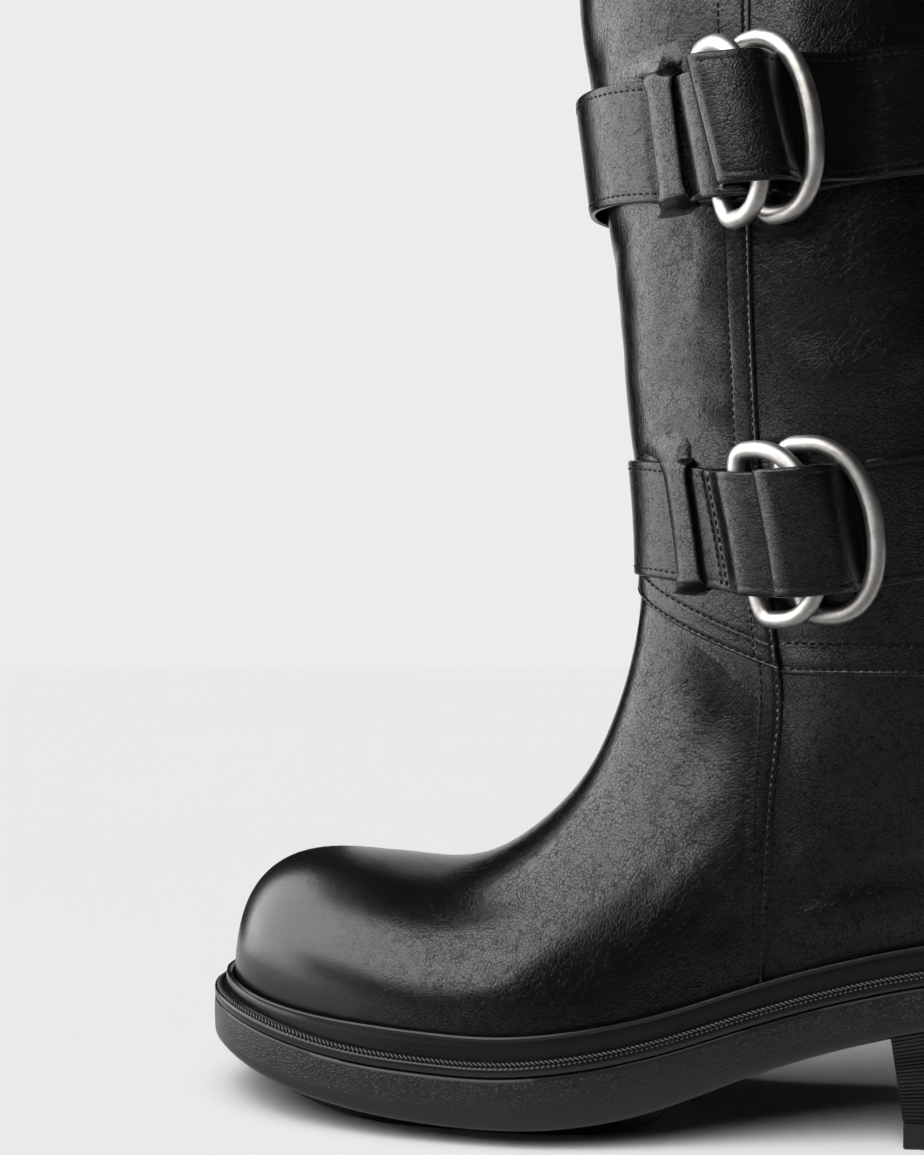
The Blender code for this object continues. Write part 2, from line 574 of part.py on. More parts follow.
def build_straps():
    shaft = Shaft()
    half = STRAP_HIGH / 2
    for row in STRAPS:
        name, height, sag, _, loop_at, ring_at, af, ao, bb, bf, bo, fold, loop_off = row
        round_way = shaft.way(height)[-1]

        def middle(way):
            """Height of the strap's middle at a way from the front ring's bar."""
            way = np.mod(np.asarray(way, float) + round_way / 2, round_way) - round_way / 2
            return height - sag * np.exp(-((way - SAG_AT) / SAG_RUN) ** 2)

        path = strap_path(row, round_way)
        t = np.gradient(path, axis=0)
        t /= np.linalg.norm(t, axis=1)[:, None]
        across = np.stack([-t[:, 1], t[:, 0]], 1) * STRAP_THICK / 2
        corners = []
        for face, up in ((1, -half), (1, half), (-1, half), (-1, -half)):
            line = path + face * across
            z = middle(path[:, 0]) + up
            p, n = shaft.at(line[:, 0] + ring_at, height, z)
            corners.append(np.column_stack([p + n * line[:, 1:2], z]))
        tube("strap_" + name, list(np.stack(corners, 1)), STRAP_COLOUR, 0.45, False)
        # rings: straight bar in the fold, round far side
        for which, s0, d0, s1, d1 in (("front", 0.0, BAR_OFF, af, ao), ("rear", bb, BAR_OFF, bf, bo)):
            wide = math.hypot(s1 - s0, d1 - d0)
            a = np.linspace(0, 2 * np.pi, 28, endpoint=False)
            mid = 8.5
            power = np.where(np.cos(a) < 0, 5.0, 3.4)
            reach = np.where(np.cos(a) < 0, mid, wide - mid)
            along = mid + np.sign(np.cos(a)) * reach * np.abs(np.cos(a)) ** (2 / power)
            up = np.sign(np.sin(a)) * RING_HIGH / 2 * np.abs(np.sin(a)) ** (2 / power)
            s = s0 + (s1 - s0) * along / wide
            d = d0 + (d1 - d0) * along / wide
            z = float(middle((s0 + s1) / 2)) + up
            p, n = shaft.at(s + ring_at, height, z)
            centre = np.column_stack([p + n * d[:, None], z])
            out = shaft.at(np.array([(s0 + s1) / 2 + ring_at]), height, height)[1][0]
            out = np.array([out[0], out[1], 0.0])
            tan = np.roll(centre, -1, 0) - np.roll(centre, 1, 0)
            tan /= np.linalg.norm(tan, axis=1)[:, None]
            e1 = np.cross(tan, out)
            e1 /= np.linalg.norm(e1, axis=1)[:, None]
            e2 = np.cross(e1, tan)
            b = np.linspace(0, 2 * np.pi, 6, endpoint=False)
            rings = [c + WIRE / 2 * (np.cos(b)[:, None] * p1 + np.sin(b)[:, None] * p2) for c, p1, p2 in zip(centre, e1, e2)]
            tube("ring_%s_%s" % (which, name), rings, STEEL, 0.3, True, 1.0)
        # loops that hold the strap to the shaft
        for which, sgn in (("outer", 1), ("inner", -1)):
            off = loop_off if which == "outer" else 3.9
            mid_z = float(middle(sgn * loop_at - ring_at))
            line = smooth_path([(LOOP_REACH, LOOP_THICK / 2 + GAP), (half + 4.5, 0.55 * off + 0.4), (half + 1.2, off - 0.1), (half / 2, off), (0, off),
                                (-half / 2, off), (-half - 1.2, off - 0.1), (-half - 4.5, 0.55 * off + 0.4), (-LOOP_REACH, LOOP_THICK / 2 + GAP)], 5.0)
            t = np.gradient(line, axis=0)
            t /= np.linalg.norm(t, axis=1)[:, None]
            across = np.stack([t[:, 1], -t[:, 0]], 1) * LOOP_THICK / 2
            corners = []
            for face, ds in ((1, -1), (1, 0), (1, 1), (-1, 1), (-1, 0), (-1, -1)):
                q = line + face * across
                p, n = shaft.at(np.full(len(q), sgn * (loop_at + ds * LOOP_WIDE / 2)), height, mid_z + q[:, 0])
                corners.append(np.column_stack([p + n * q[:, 1:2], mid_z + q[:, 0]]))
            tube("loop_%s_%s" % (which, name), list(np.stack(corners, 1)), STRAP_COLOUR, 0.45, False)


for ob in list(bpy.data.objects):
    bpy.data.objects.remove(ob, do_unlink=True)
build_outsole()
build_heel()
build_welt()
build_insole()
build_upper()
build_straps()
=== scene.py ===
"""Looks of the tall boot: leather panels with their seams, straps, rings, storm welt and rubber sole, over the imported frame.

Sizes are millimetres, as in the part's source. u: station from the toe of the last, v: side (+ outer), z: height over the floor.
"""
import math

import bpy
import numpy as np
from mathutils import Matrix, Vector


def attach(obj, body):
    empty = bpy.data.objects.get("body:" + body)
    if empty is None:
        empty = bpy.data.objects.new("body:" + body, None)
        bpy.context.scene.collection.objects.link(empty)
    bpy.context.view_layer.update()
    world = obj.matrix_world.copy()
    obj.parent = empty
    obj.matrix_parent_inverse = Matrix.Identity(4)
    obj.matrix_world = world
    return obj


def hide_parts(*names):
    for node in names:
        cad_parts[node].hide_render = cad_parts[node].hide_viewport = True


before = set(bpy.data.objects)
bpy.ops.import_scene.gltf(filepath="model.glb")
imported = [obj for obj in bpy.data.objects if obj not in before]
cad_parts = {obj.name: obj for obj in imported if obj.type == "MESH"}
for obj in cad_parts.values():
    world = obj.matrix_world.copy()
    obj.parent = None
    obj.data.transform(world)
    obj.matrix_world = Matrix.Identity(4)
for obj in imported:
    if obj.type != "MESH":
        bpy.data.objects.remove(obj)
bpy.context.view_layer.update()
MM = 0.001

# ------------------------------------------------------------------ sizes of the part
LAST_LENGTH = 272.0
TOE_RADIUS = 33.0
TOE_RUN = 70.0
TOE_BOX = 51.0
TOE_POWER = 2.6
HEEL_RUN = 40.0
HEEL_POWER = 2.2
HEEL_Z = 58.4
COLLAR_Z = 465.0
WALL = 2.4
BULGE = 1.5
GAP = 0.3
WELT_OUT = 7.5
WELT_THICK = 3.0
WELT_IN = 8.0
PAD_DEEP = 7.0
PAD_IN = 8.0
BREAST_TOP = 212.0
BREAST_FOOT = 217.0
BREAST_SKEW = 7.0
TIP_THICK = 8.0
STRAP_HIGH = 37.0
STRAP_THICK = 2.0
STRAP_AIR = 0.6
WIRE = 4.8
RING_HIGH = 50.2
LOOP_WIDE = 9.4
LOOP_THICK = 1.6
CENTRE_U = 136.0
CENTRE_V = 11.2

LAST_BOTTOM = (
    # station, centre, half_width
    (0.0, -6.0, 0.0),
    (12.0, -5.0, 26.5),
    (40.0, -3.0, 41.0),
    (75.0, 0.0, 45.6),
    (105.0, 3.5, 43.5),
    (148.0, 5.0, 35.0),
    (186.0, 3.0, 30.0),
    (222.0, 0.5, 29.5),
    (272.0, 0.0, 30.0),
)
SIDE = (
    # station, under, top
    (-8.0, 19.6, 35.4),
    (4.0, 17.0, 33.2),
    (18.0, 13.3, 30.5),
    (45.0, 8.3, 26.3),
    (70.0, 5.9, 24.7),
    (92.0, 5.1, 24.2),
    (120.0, 6.7, 26.9),
    (145.0, 12.1, 32.0),
    (168.0, 20.3, 38.9),
    (212.0, 33.0, 50.4),
    (245.0, 38.8, 56.0),
    (280.0, 41.4, 58.6),
)
BACK = (
    # height, station, rounding
    (58.4, 272.0, 40.0),
    (75.0, 274.3, 41.0),
    (100.0, 274.5, 44.0),
    (130.0, 271.0, 48.0),
    (165.0, 267.0, 52.0),
    (200.0, 265.5, 56.0),
    (260.0, 263.6, 60.0),
    (330.0, 260.0, 64.0),
    (400.0, 255.6, 67.0),
    (465.0, 251.5, 70.0),
)
UPPER = (
    # name, ridge_u, ridge_z, base, outer, inner, front, power, shift
    ("toe_box", 51.0, 79.2, 51.0, 0.0, 0.0, 1.00, 2.25, -4.0),
    ("dip", 76.0, 78.2, 78.0, 0.0, 0.0, 1.00, 2.10, -3.0),
    ("vamp", 98.0, 86.8, 104.0, 0.0, 0.0, 1.00, 2.00, -2.0),
    ("instep", 119.5, 109.2, 148.0, 0.0, 0.0, 1.00, 2.00, -1.0),
    ("instep_high", 132.0, 140.0, 204.0, 35.0, 34.5, 0.90, 2.00, 0.0),
    ("heel_corner", 136.2, 165.0, 272.0, 37.0, 36.5, 0.72, 2.00, 0.0),
    ("ankle", 136.0, 190.0, 325.6, 40.0, 39.5, 0.60, 2.00, 0.0),
    ("gaiter", 133.9, 215.0, 391.6, 43.5, 43.0, 0.53, 2.00, 0.0),
    ("shaft_low", 130.6, 250.0, 451.6, 46.0, 45.5, 0.50, 2.05, 0.0),
    ("shaft_mid", 124.5, 300.0, 510.6, 48.5, 48.0, 0.50, 2.10, 0.0),
    ("calf", 114.8, 375.0, 587.6, 51.0, 50.5, 0.50, 2.10, 0.0),
    ("collar", 103.0, COLLAR_Z, 678.6, 53.0, 52.5, 0.50, 2.10, 0.0),
)
STRAPS = (
    # name, height, sag, slack, loop_at, ring_at, front_far, front_off, rear_bar, rear_far, rear_off, fold, loop_off
    ("low", 191.0, 8.0, 0.0, 31.0, 53.0, 22.0, 14.4, 13.0, 36.0, 10.8, 9.0, 3.9),
    ("mid", 307.0, 7.0, 3.8, 47.3, 60.8, 15.8, 21.5, 10.5, 28.4, 19.0, 3.6, 6.0),
    ("top", 426.0, 7.0, 3.8, 51.5, 65.0, 15.8, 21.5, 10.5, 28.4, 19.0, 3.6, 6.0),
)
SAG_AT = 9.0
SAG_RUN = 38.0
SLACK_RUN = 28.0
BAR_OFF = 5.6

# ------------------------------------------------------------------ sizes of the looks
LEATHER_THICK = 1.3
WIRE_LOOK = 5.4
LEAN = 0.06              # rings and folded ends lean with the shaft
SEAM = (
    # height, station of the raw edge of the front panels
    (30.0, 174.0),
    (50.0, 175.0),
    (89.0, 176.8),
    (110.0, 178.4),
    (134.0, 180.2),
    (150.0, 178.6),
    (180.0, 175.4),
    (217.0, 172.8),
    (270.0, 170.9),
    (330.0, 170.5),
    (400.0, 170.0),
    (465.0, 169.5),
)
EDGE_FRONT = 166.5       # lower edge of the shaft at the front
EDGE_SIDE = 142.6        # and where it meets the side seam
EDGE_BACK = 141.0        # and behind the seam
ROW_NEAR = 1.5           # stitch rows in from a panel's edge
ROW_FAR = 7.5
STITCH = 2.5             # stitch pitch
# creases of the foot: station and height of the middle, slope, half length, half width, depth (+ trough, - ridge)
FOOT_CREASES = (
    # u, z, angle, half_length, half_width, depth
    (206.0, 77.0, 14.0, 40.0, 6.0, 1.5),
    (206.0, 64.0, 13.0, 44.0, 8.0, -0.7),
    (214.0, 112.0, 20.0, 30.0, 8.0, 0.7),
    (128.0, 116.0, 62.0, 22.0, 5.0, 0.35),
    (140.0, 108.0, 58.0, 24.0, 5.5, -0.30),
    (96.0, 60.0, 16.0, 26.0, 4.5, 0.22),
    (104.0, 52.0, 20.0, 24.0, 4.0, -0.18),
    (150.0, 84.0, 52.0, 22.0, 4.5, 0.28),
    (162.0, 124.0, 70.0, 20.0, 5.0, 0.35),
    (160.0, 72.0, 46.0, 18.0, 4.0, -0.20),
)
# creases of the shaft: way round from the front (+ outer), height
SHAFT_CREASES = (
    # s, z, angle, half_length, half_width, depth
    (24.0, 281.0, 24.0, 26.0, 5.5, 0.9),
    (20.0, 271.0, 18.0, 24.0, 6.0, -0.6),
    (40.0, 262.0, 64.0, 20.0, 6.0, 0.7),
    (16.0, 240.0, -28.0, 20.0, 6.5, 0.6),
    (36.0, 226.0, -18.0, 22.0, 5.0, 0.6),
    (20.0, 218.0, 12.0, 16.0, 4.0, -0.4),
    (30.0, 344.0, 40.0, 26.0, 7.0, 0.7),
    (14.0, 366.0, -20.0, 22.0, 7.0, 0.6),
    (44.0, 386.0, 30.0, 24.0, 7.0, 0.7),
    (96.0, 250.0, 12.0, 34.0, 9.0, 0.4),
    (104.0, 232.0, 6.0, 36.0, 8.0, -0.25),
    (110.0, 352.0, -14.0, 34.0, 10.0, 0.4),
    (128.0, 268.0, -18.0, 30.0, 9.0, 0.4),
    (-26.0, 262.0, -30.0, 24.0, 7.0, 0.8),
    (-34.0, 352.0, 24.0, 24.0, 7.0, 0.7),
    (-98.0, 246.0, -10.0, 34.0, 9.0, 0.9),
    (-112.0, 362.0, 16.0, 34.0, 9.0, 0.8),
)


# ------------------------------------------------------------------ curves of the part
def spline(xs, ys, level_start=False):
    xs = np.asarray(xs, float)
    ys = np.asarray(ys, float)
    n = len(xs)
    h = np.diff(xs)
    d = np.diff(ys) / h
    a = np.zeros((n, n))
    b = np.zeros(n)
    a[0, 0] = a[-1, -1] = 1.0
    for i in range(1, n - 1):
        a[i, i - 1], a[i, i], a[i, i + 1] = h[i - 1], 2 * (h[i - 1] + h[i]), h[i]
        b[i] = 6 * (d[i] - d[i - 1])
    if level_start:
        a[0, 0], a[0, 1], b[0] = 2 * h[0], h[0], 6 * d[0]
    m = np.linalg.solve(a, b)
    first = d[0] - h[0] * (2 * m[0] + m[1]) / 6
    last = d[-1] + h[-1] * (m[-2] + 2 * m[-1]) / 6

    def at(x):
        x = np.asarray(x, float)
        i = np.clip(np.searchsorted(xs, x) - 1, 0, n - 2)
        t = x - xs[i]
        s = d[i] - h[i] * (2 * m[i] + m[i + 1]) / 6
        inside = ys[i] + t * (s + t * (m[i] / 2 + t * (m[i + 1] - m[i]) / (6 * h[i])))
        return np.where(x < xs[0], ys[0] + t * first, np.where(x > xs[-1], ys[-1] + (x - xs[-1]) * last, inside))

    return at


def column(table, k):
    return np.array([row[k] for row in table], float)


def ease(a, b, x):
    t = np.clip((np.asarray(x, float) - a) / (b - a), 0, 1)
    return t * t * (3 - 2 * t)


def bell(x, wide):
    return np.exp(-(np.asarray(x, float) / wide) ** 2)


def toe_round(u):
    x = np.clip(np.asarray(u, float) / TOE_RUN, 0, 1)
    return np.sqrt(np.clip(1 - (1 - x) ** 2, 0, 1))


def end_round(u, end, run):
    x = np.clip((u - (end - run)) / run, 0, 1)
    return np.clip(1 - x ** HEEL_POWER, 0, 1) ** (1 / HEEL_POWER)


station = column(LAST_BOTTOM, 0)
fullness = column(LAST_BOTTOM, 2) / np.maximum(toe_round(station), 1e-9)
fullness[0] = math.sqrt(TOE_RADIUS * TOE_RUN)
full_at = spline(station, fullness)
last_centre = spline(station, column(LAST_BOTTOM, 1))
under_z = spline(column(SIDE, 0), column(SIDE, 1))
top_z = spline(column(SIDE, 0), column(SIDE, 2))
back_u = spline(column(BACK, 0), column(BACK, 1))
back_run = spline(column(BACK, 0), column(BACK, 2))
seam_u = spline(column(SEAM, 0), column(SEAM, 1))


def last_half(u):
    return full_at(u) * toe_round(u)


def feather_z(u):
    return top_z(u) + GAP


def last_point(a):
    u = LAST_LENGTH * (1 - np.cos(a)) / 2
    w = last_half(u) * end_round(u, LAST_LENGTH, HEEL_RUN)
    return np.stack([u, last_centre(u) + np.sign(np.sin(a)) * w], -1)


def outline(n, out):
    a = 2 * np.pi * np.arange(n) / n
    t = last_point(a + 1e-3) - last_point(a - 1e-3)
    t /= np.linalg.norm(t, axis=1)[:, None]
    return last_point(a) + out * np.stack([-t[:, 1], t[:, 0]], 1)


def even_outline(n, out=0.0):
    """Points spaced evenly along the plan curve, and the outward direction at each."""
    fine = 6000
    a = 2 * np.pi * np.arange(fine + 1) / fine
    p = last_point(a)
    way = np.concatenate([[0], np.cumsum(np.linalg.norm(np.diff(p, axis=0), axis=1))])
    k = np.interp(np.arange(n) * way[-1] / n, way, a)
    t = last_point(k + 1e-3) - last_point(k - 1e-3)
    t /= np.linalg.norm(t, axis=1)[:, None]
    nrm = np.stack([-t[:, 1], t[:, 0]], 1)
    return last_point(k) + out * nrm, nrm, way[-1]


def side_line(out, side, n=400):
    p = outline(2 * n, out)
    return p[:n + 1] if side > 0 else np.concatenate([p[:1], p[:n - 1:-1]])


ROWS = len(UPPER)
HEEL_ROW = [row[0] for row in UPPER].index("heel_corner")
row_at = np.arange(ROWS, dtype=float)
NAMES = ("ridge_u", "ridge_z", "base", "outer", "inner", "front", "power", "shift")
col = {name: column(UPPER, k + 1) for k, name in enumerate(NAMES)}
for name, side in (("outer", 1), ("inner", -1)):
    on_last = np.minimum(col["base"], LAST_LENGTH)
    foot = last_half(on_last) + side * (last_centre(on_last) - col["shift"])
    col[name] = np.where(col[name] == 0, foot, col[name])
curve = {name: spline(row_at, col[name], name == "ridge_z") for name in NAMES}


def upper(t, x, side):
    t, x = np.broadcast_arrays(np.asarray(t, float), np.asarray(x, float))
    cap = t < 0
    tt = np.maximum(t, 0)
    base = curve["base"](tt)
    climbs = base > LAST_LENGTH
    bz = np.where(climbs, HEEL_Z + base - LAST_LENGTH, feather_z(np.minimum(base, LAST_LENGTH)))
    bu = np.where(climbs, back_u(bz), base)
    su, sz, shift = curve["ridge_u"](tt), curve["ridge_z"](tt), curve["shift"](tt)
    front = np.clip(curve["front"](tt), 0.5, 1)
    power = curve["power"](tt)
    mid = curve["outer" if side > 0 else "inner"](tt)
    bb = np.minimum(base, LAST_LENGTH)
    low = np.where(climbs, mid, last_half(bb) + side * (last_centre(bb) - shift))
    th = np.clip(-t, 0, 1) * np.pi / 2
    cu = TOE_BOX * (1 - np.clip(np.sin(th), 0, 1) ** (2 / TOE_POWER))
    ch = (curve["ridge_z"](0.0) - feather_z(TOE_BOX)) * np.clip(np.cos(th), 0, 1) ** (2 / TOE_POWER)
    cs = last_centre(cu) + (curve["shift"](0.0) - last_centre(TOE_BOX)) * np.clip(1 + t, 0, 1) ** 2
    cw = last_half(cu) + side * (last_centre(cu) - cs)
    su, sz = np.where(cap, cu, su), np.where(cap, feather_z(cu) + ch, sz)
    bu, bz = np.where(cap, cu, bu), np.where(cap, feather_z(cu), bz)
    shift, mid, low = np.where(cap, cs, shift), np.where(cap, cw, mid), np.where(cap, cw, low)
    front, power = np.where(cap, 1.0, front), np.where(cap, curve["power"](0.0), power)
    k = (1 - front) / 0.5
    r = (1 - k) * (1 - np.cos(np.pi * x / 2)) + k * (1 - np.cos(np.pi * x)) / 2
    u = su + (bu - su) * r
    z = sz + (bz - sz) * r
    f = np.clip(1 - np.clip(1 - r / front, 0, 1) ** power, 0, 1) ** (1 / power)
    hz = np.maximum(z, HEEL_Z)
    g = end_round(u, back_u(hz), back_run(hz))
    w = mid + (low - mid) * r ** 2.2
    swell = BULGE * np.clip(2 * front - 1, 0, 1) * np.clip(w / 30, 0, 1) * np.sin(np.pi * r) ** 2
    return np.stack([u, shift + side * (w * f + swell) * g, z], -1)


def upper_normal(t, x, side):
    e = 2e-3
    t, x = np.broadcast_arrays(np.asarray(t, float), np.asarray(x, float))
    tc, xc = np.clip(t, -0.97, ROWS - 1 - e), np.clip(x, 0.015, 0.985)
    dt = upper(tc + e, xc, side) - upper(tc - e, xc, side)
    dx = upper(tc, xc + e, side) - upper(tc, xc - e, side)
    n = np.cross(dt, dx) * side
    n /= np.linalg.norm(n, axis=-1, keepdims=True)
    flat = n * np.array([1.0, 0.0, 1.0])
    flat /= np.maximum(np.linalg.norm(flat, axis=-1, keepdims=True), 1e-9)
    n = np.where((x <= 0)[..., None], flat, n)
    return np.where(((x >= 1) & (t >= HEEL_ROW))[..., None], flat, n)


class Shaft:
    """The shaft's surface by share of the way round (0 front, then outer side, back, inner side) and height."""

    def __init__(self, heights=180, across=160, around=900):
        x = np.linspace(0, 1, across + 1)
        t = np.linspace(HEEL_ROW - 2.0, ROWS - 1, 600)
        tt, xx = np.meshgrid(t, x, indexing="ij")
        self.z = np.linspace(112.0, COLLAR_Z, heights)
        halves = []
        for side in (1, -1):
            p = upper(tt, xx, side)
            halves.append(np.stack([np.stack([np.interp(self.z, p[:, j, 2], p[:, j, c]) for j in range(across + 1)], 1) for c in (0, 1)], -1))
        ring = np.concatenate([halves[0], halves[1][:, ::-1][:, 1:]], 1)
        way = np.concatenate([np.zeros((heights, 1)), np.cumsum(np.linalg.norm(np.diff(ring, axis=1), axis=2), 1)], 1)
        self.length = way[:, -1]
        self.around = around
        q = np.linspace(0, 1, around + 1)
        self.p = np.empty((heights, around + 1, 3))
        for i in range(heights):
            for c in (0, 1):
                self.p[i, :, c] = np.interp(q * way[i, -1], way[i], ring[i, :, c])
            self.p[i, :, 2] = self.z[i]
        ds = np.gradient(np.concatenate([self.p[:, -2:-1], self.p, self.p[:, 1:2]], 1), axis=1)[:, 1:-1]
        dz = np.gradient(self.p, axis=0)
        n = np.cross(ds, dz)
        n /= np.linalg.norm(n, axis=-1, keepdims=True)
        out = self.p - np.array([200.0, 0.0, 0.0])
        if np.mean(np.sum(n[..., :2] * out[..., :2], -1)) < 0:
            n = -n
        self.n = n
        half = around // 2
        self.seam = {1: [], -1: []}
        for i in range(heights):
            su = float(seam_u(self.z[i]))
            self.seam[1].append(np.interp(su, self.p[i, :half + 1, 0], q[:half + 1]))
            self.seam[-1].append(1 - np.interp(su, self.p[i, half:, 0][::-1], q[half:][::-1]))
        self.seam = {k: np.array(v) for k, v in self.seam.items()}

    def long(self, z):
        return np.interp(z, self.z, self.length)

    def seam_share(self, side, z):
        return np.interp(z, self.z, self.seam[side])

    def at(self, q, z):
        q, z = np.broadcast_arrays(np.asarray(q, float), np.asarray(z, float))
        i = np.clip(np.interp(z, self.z, np.arange(len(self.z))), 0, len(self.z) - 1.001)
        k = np.mod(q, 1.0) * self.around
        i0, k0 = i.astype(int), np.minimum(k.astype(int), self.around - 1)
        a, b = (i - i0)[..., None], (k - k0)[..., None]
        out = []
        for g in (self.p, self.n):
            low = g[i0, k0] * (1 - b) + g[i0, k0 + 1] * b
            high = g[i0 + 1, k0] * (1 - b) + g[i0 + 1, k0 + 1] * b
            out.append(low * (1 - a) + high * a)
        p, n = out
        p[..., 2] = z
        return p, n / np.linalg.norm(n, axis=-1, keepdims=True)

    def flat(self, q, z):
        """The same, with the outward direction level."""
        p, n = self.at(q, z)
        n = n * (1, 1, 0)
        return p, n / np.linalg.norm(n, axis=-1, keepdims=True)


shaft = Shaft()


# ------------------------------------------------------------------ soft forms
def creases(a, b, table):
    """Soft troughs and ridges on a surface with the coordinates a (along) and b (up)."""
    out = np.zeros(np.broadcast(a, b).shape)
    for a0, b0, angle, long, wide, depth in table:
        c, s = math.cos(math.radians(angle)), math.sin(math.radians(angle))
        da, db = a - a0, b - b0
        along, across = c * da + s * db, -s * da + c * db
        across = across + 0.10 * long * np.sin(1.7 * along / long + a0)
        out -= depth * np.exp(-(along / long) ** 4) * (bell(across, wide) - 0.45 * bell(across, 2.2 * wide))
    return out


def near_straps(z):
    return sum(bell(z - row[1] + 3.0, 24.0) for row in STRAPS)


def soft_shaft(s, z):
    quiet = 1 - 0.85 * np.clip(near_straps(z), 0, 1)
    wave = 0.30 * np.sin(0.061 * z + 0.045 * s) + 0.24 * np.sin(0.11 * z - 0.07 * s + 1.3) + 0.14 * np.sin(0.19 * z + 0.13 * s + 4.0)
    # the back panel lies flatter than the front
    wave = wave * (1 - 0.6 * ease(60.0, 82.0, s))
    fade = ease(EDGE_SIDE + 4, EDGE_SIDE + 34, z) * (1 - ease(COLLAR_Z - 40, COLLAR_Z - 8, z))
    return (wave + creases(s, z, SHAFT_CREASES)) * quiet * fade


def soft_foot(u, z):
    fade = ease(8, 22, z - feather_z(np.minimum(u, LAST_LENGTH))) * (1 - ease(128, 146, z))
    wave = 0.10 * np.sin(0.09 * u + 0.12 * z) + 0.08 * np.sin(0.17 * u - 0.1 * z + 2.0)
    return (creases(u, z, FOOT_CREASES) + wave * ease(60, 90, u)) * fade


# ------------------------------------------------------------------ meshes
def place(p):
    p = np.asarray(p, float)
    return np.stack([p[..., 0] - CENTRE_U, CENTRE_V - p[..., 1], p[..., 2]], -1) * MM


def make(name, points, faces, material, stands_for=(), values=None, sharp=38.0):
    """One piece of the boot: a mesh in the row frame that rides on the root body."""
    mesh = bpy.data.meshes.new(name)
    # the row frame turns the side axis over, so the faces turn with it
    mesh.from_pydata(place(points).tolist(), [], [[int(k) for k in reversed(f)] for f in faces])
    for key, data in (values or {}).items():
        layer = mesh.attributes.new(key, "FLOAT", "POINT")
        layer.data.foreach_set("value", np.asarray(data, np.float32))
    mesh.polygons.foreach_set("use_smooth", np.ones(len(mesh.polygons), bool))
    mesh.materials.append(material)
    mesh.update()
    if sharp:
        mesh.set_sharp_from_angle(angle=math.radians(sharp))
    ob = bpy.data.objects.new(name, mesh)
    bpy.context.scene.collection.objects.link(ob)
    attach(ob, "root")
    if stands_for:
        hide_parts(*stands_for)
    return ob


def grid_faces(rows, cols, start=0, round_rows=False, round_cols=False):
    i, j = np.meshgrid(np.arange(rows if round_rows else rows - 1), np.arange(cols if round_cols else cols - 1), indexing="ij")
    i2, j2 = (i + 1) % rows, (j + 1) % cols
    return np.stack([start + i * cols + j, start + i * cols + j2, start + i2 * cols + j2, start + i2 * cols + j], -1).reshape(-1, 4)


def weld(points, faces, *more):
    key = np.round(points * 2000).astype(np.int64)
    _, first, index = np.unique(key, axis=0, return_index=True, return_inverse=True)
    index = index.ravel()
    kept = []
    for f in index[faces]:
        g = list(dict.fromkeys(f.tolist()))
        if len(g) > 2:
            kept.append(g)
    return points[first], kept, [m[first] for m in more]


def shell(grids, thick):
    """A closed sheet of leather from grids of (points, outward directions, {name: values}), welded where they meet."""
    points, normals, faces, start = [], [], [], 0
    keys = sorted(grids[0][2])
    values = {k: [] for k in keys}
    for p, n, extra in grids:
        r, c = p.shape[:2]
        f = grid_faces(r, c, start)
        flat, dirs = p.reshape(-1, 3), n.reshape(-1, 3)
        g = f - start
        turn = np.cross(flat[g[:, 2]] - flat[g[:, 0]], flat[g[:, 3]] - flat[g[:, 1]])
        if np.sum(turn * dirs[g[:, 0]]) < 0:
            f = f[:, ::-1]
        points.append(flat)
        normals.append(dirs)
        faces.append(f)
        for k in keys:
            values[k].append(np.broadcast_to(extra[k], p.shape[:2]).reshape(-1))
        start += r * c
    packed = [np.concatenate(values[k]) for k in keys]
    points, faces, more = weld(np.concatenate(points), np.concatenate(faces), np.concatenate(normals), *packed)
    normals, packed = more[0], more[1:]
    n = len(points)
    seen = {(a, b) for f in faces for a, b in zip(f, f[1:] + f[:1])}
    rim = [(b, a, a + n, b + n) for a, b in seen if (b, a) not in seen]
    every = list(faces) + [tuple(k + n for k in reversed(f)) for f in faces] + sorted(rim)
    return np.concatenate([points, points - thick * normals]), every, {k: np.concatenate([v, v]) for k, v in zip(keys, packed)}


def swept(sections, closed, caps=True):
    """Points and faces of a solid swept through section loops (m, n, 3)."""
    m, n = sections.shape[:2]
    faces = [tuple(f) for f in grid_faces(m, n, 0, closed, True)]
    if not closed and caps:
        faces += [tuple(range(n))[::-1], tuple((m - 1) * n + k for k in range(n))]
    return sections.reshape(-1, 3), faces


def outward(points, faces):
    """Turns the faces of a closed solid outward."""
    total = 0.0
    for f in faces:
        a = points[f[0]]
        for k in range(1, len(f) - 1):
            total += np.dot(a, np.cross(points[f[k]], points[f[k + 1]]))
    return faces if total > 0 else [tuple(reversed(f)) for f in faces]


CAPSULE = ((-0.5, 0.42), (-0.34, 1.0), (0.34, 1.0), (0.5, 0.42))


def run_line(points, normals, pitch, lead=0.0, trail=0.0):
    """Evenly spaced places along a line: point, direction along it, outward direction."""
    points, normals = np.asarray(points, float), np.asarray(normals, float)
    way = np.concatenate([[0], np.cumsum(np.linalg.norm(np.diff(points, axis=0), axis=1))])
    count = max(1, int((way[-1] - lead - trail) / pitch))
    k = lead + (np.arange(count) + 0.5) * (way[-1] - lead - trail) / count

    def at(s):
        return np.stack([np.interp(s, way, points[:, c]) for c in range(3)], 1)

    t = at(k + 0.4) - at(k - 0.4)
    t /= np.linalg.norm(t, axis=1)[:, None]
    n = np.stack([np.interp(k, way, normals[:, c]) for c in range(3)], 1)
    n -= np.sum(n * t, 1)[:, None] * t
    n /= np.linalg.norm(n, axis=1)[:, None]
    return at(k), t, n


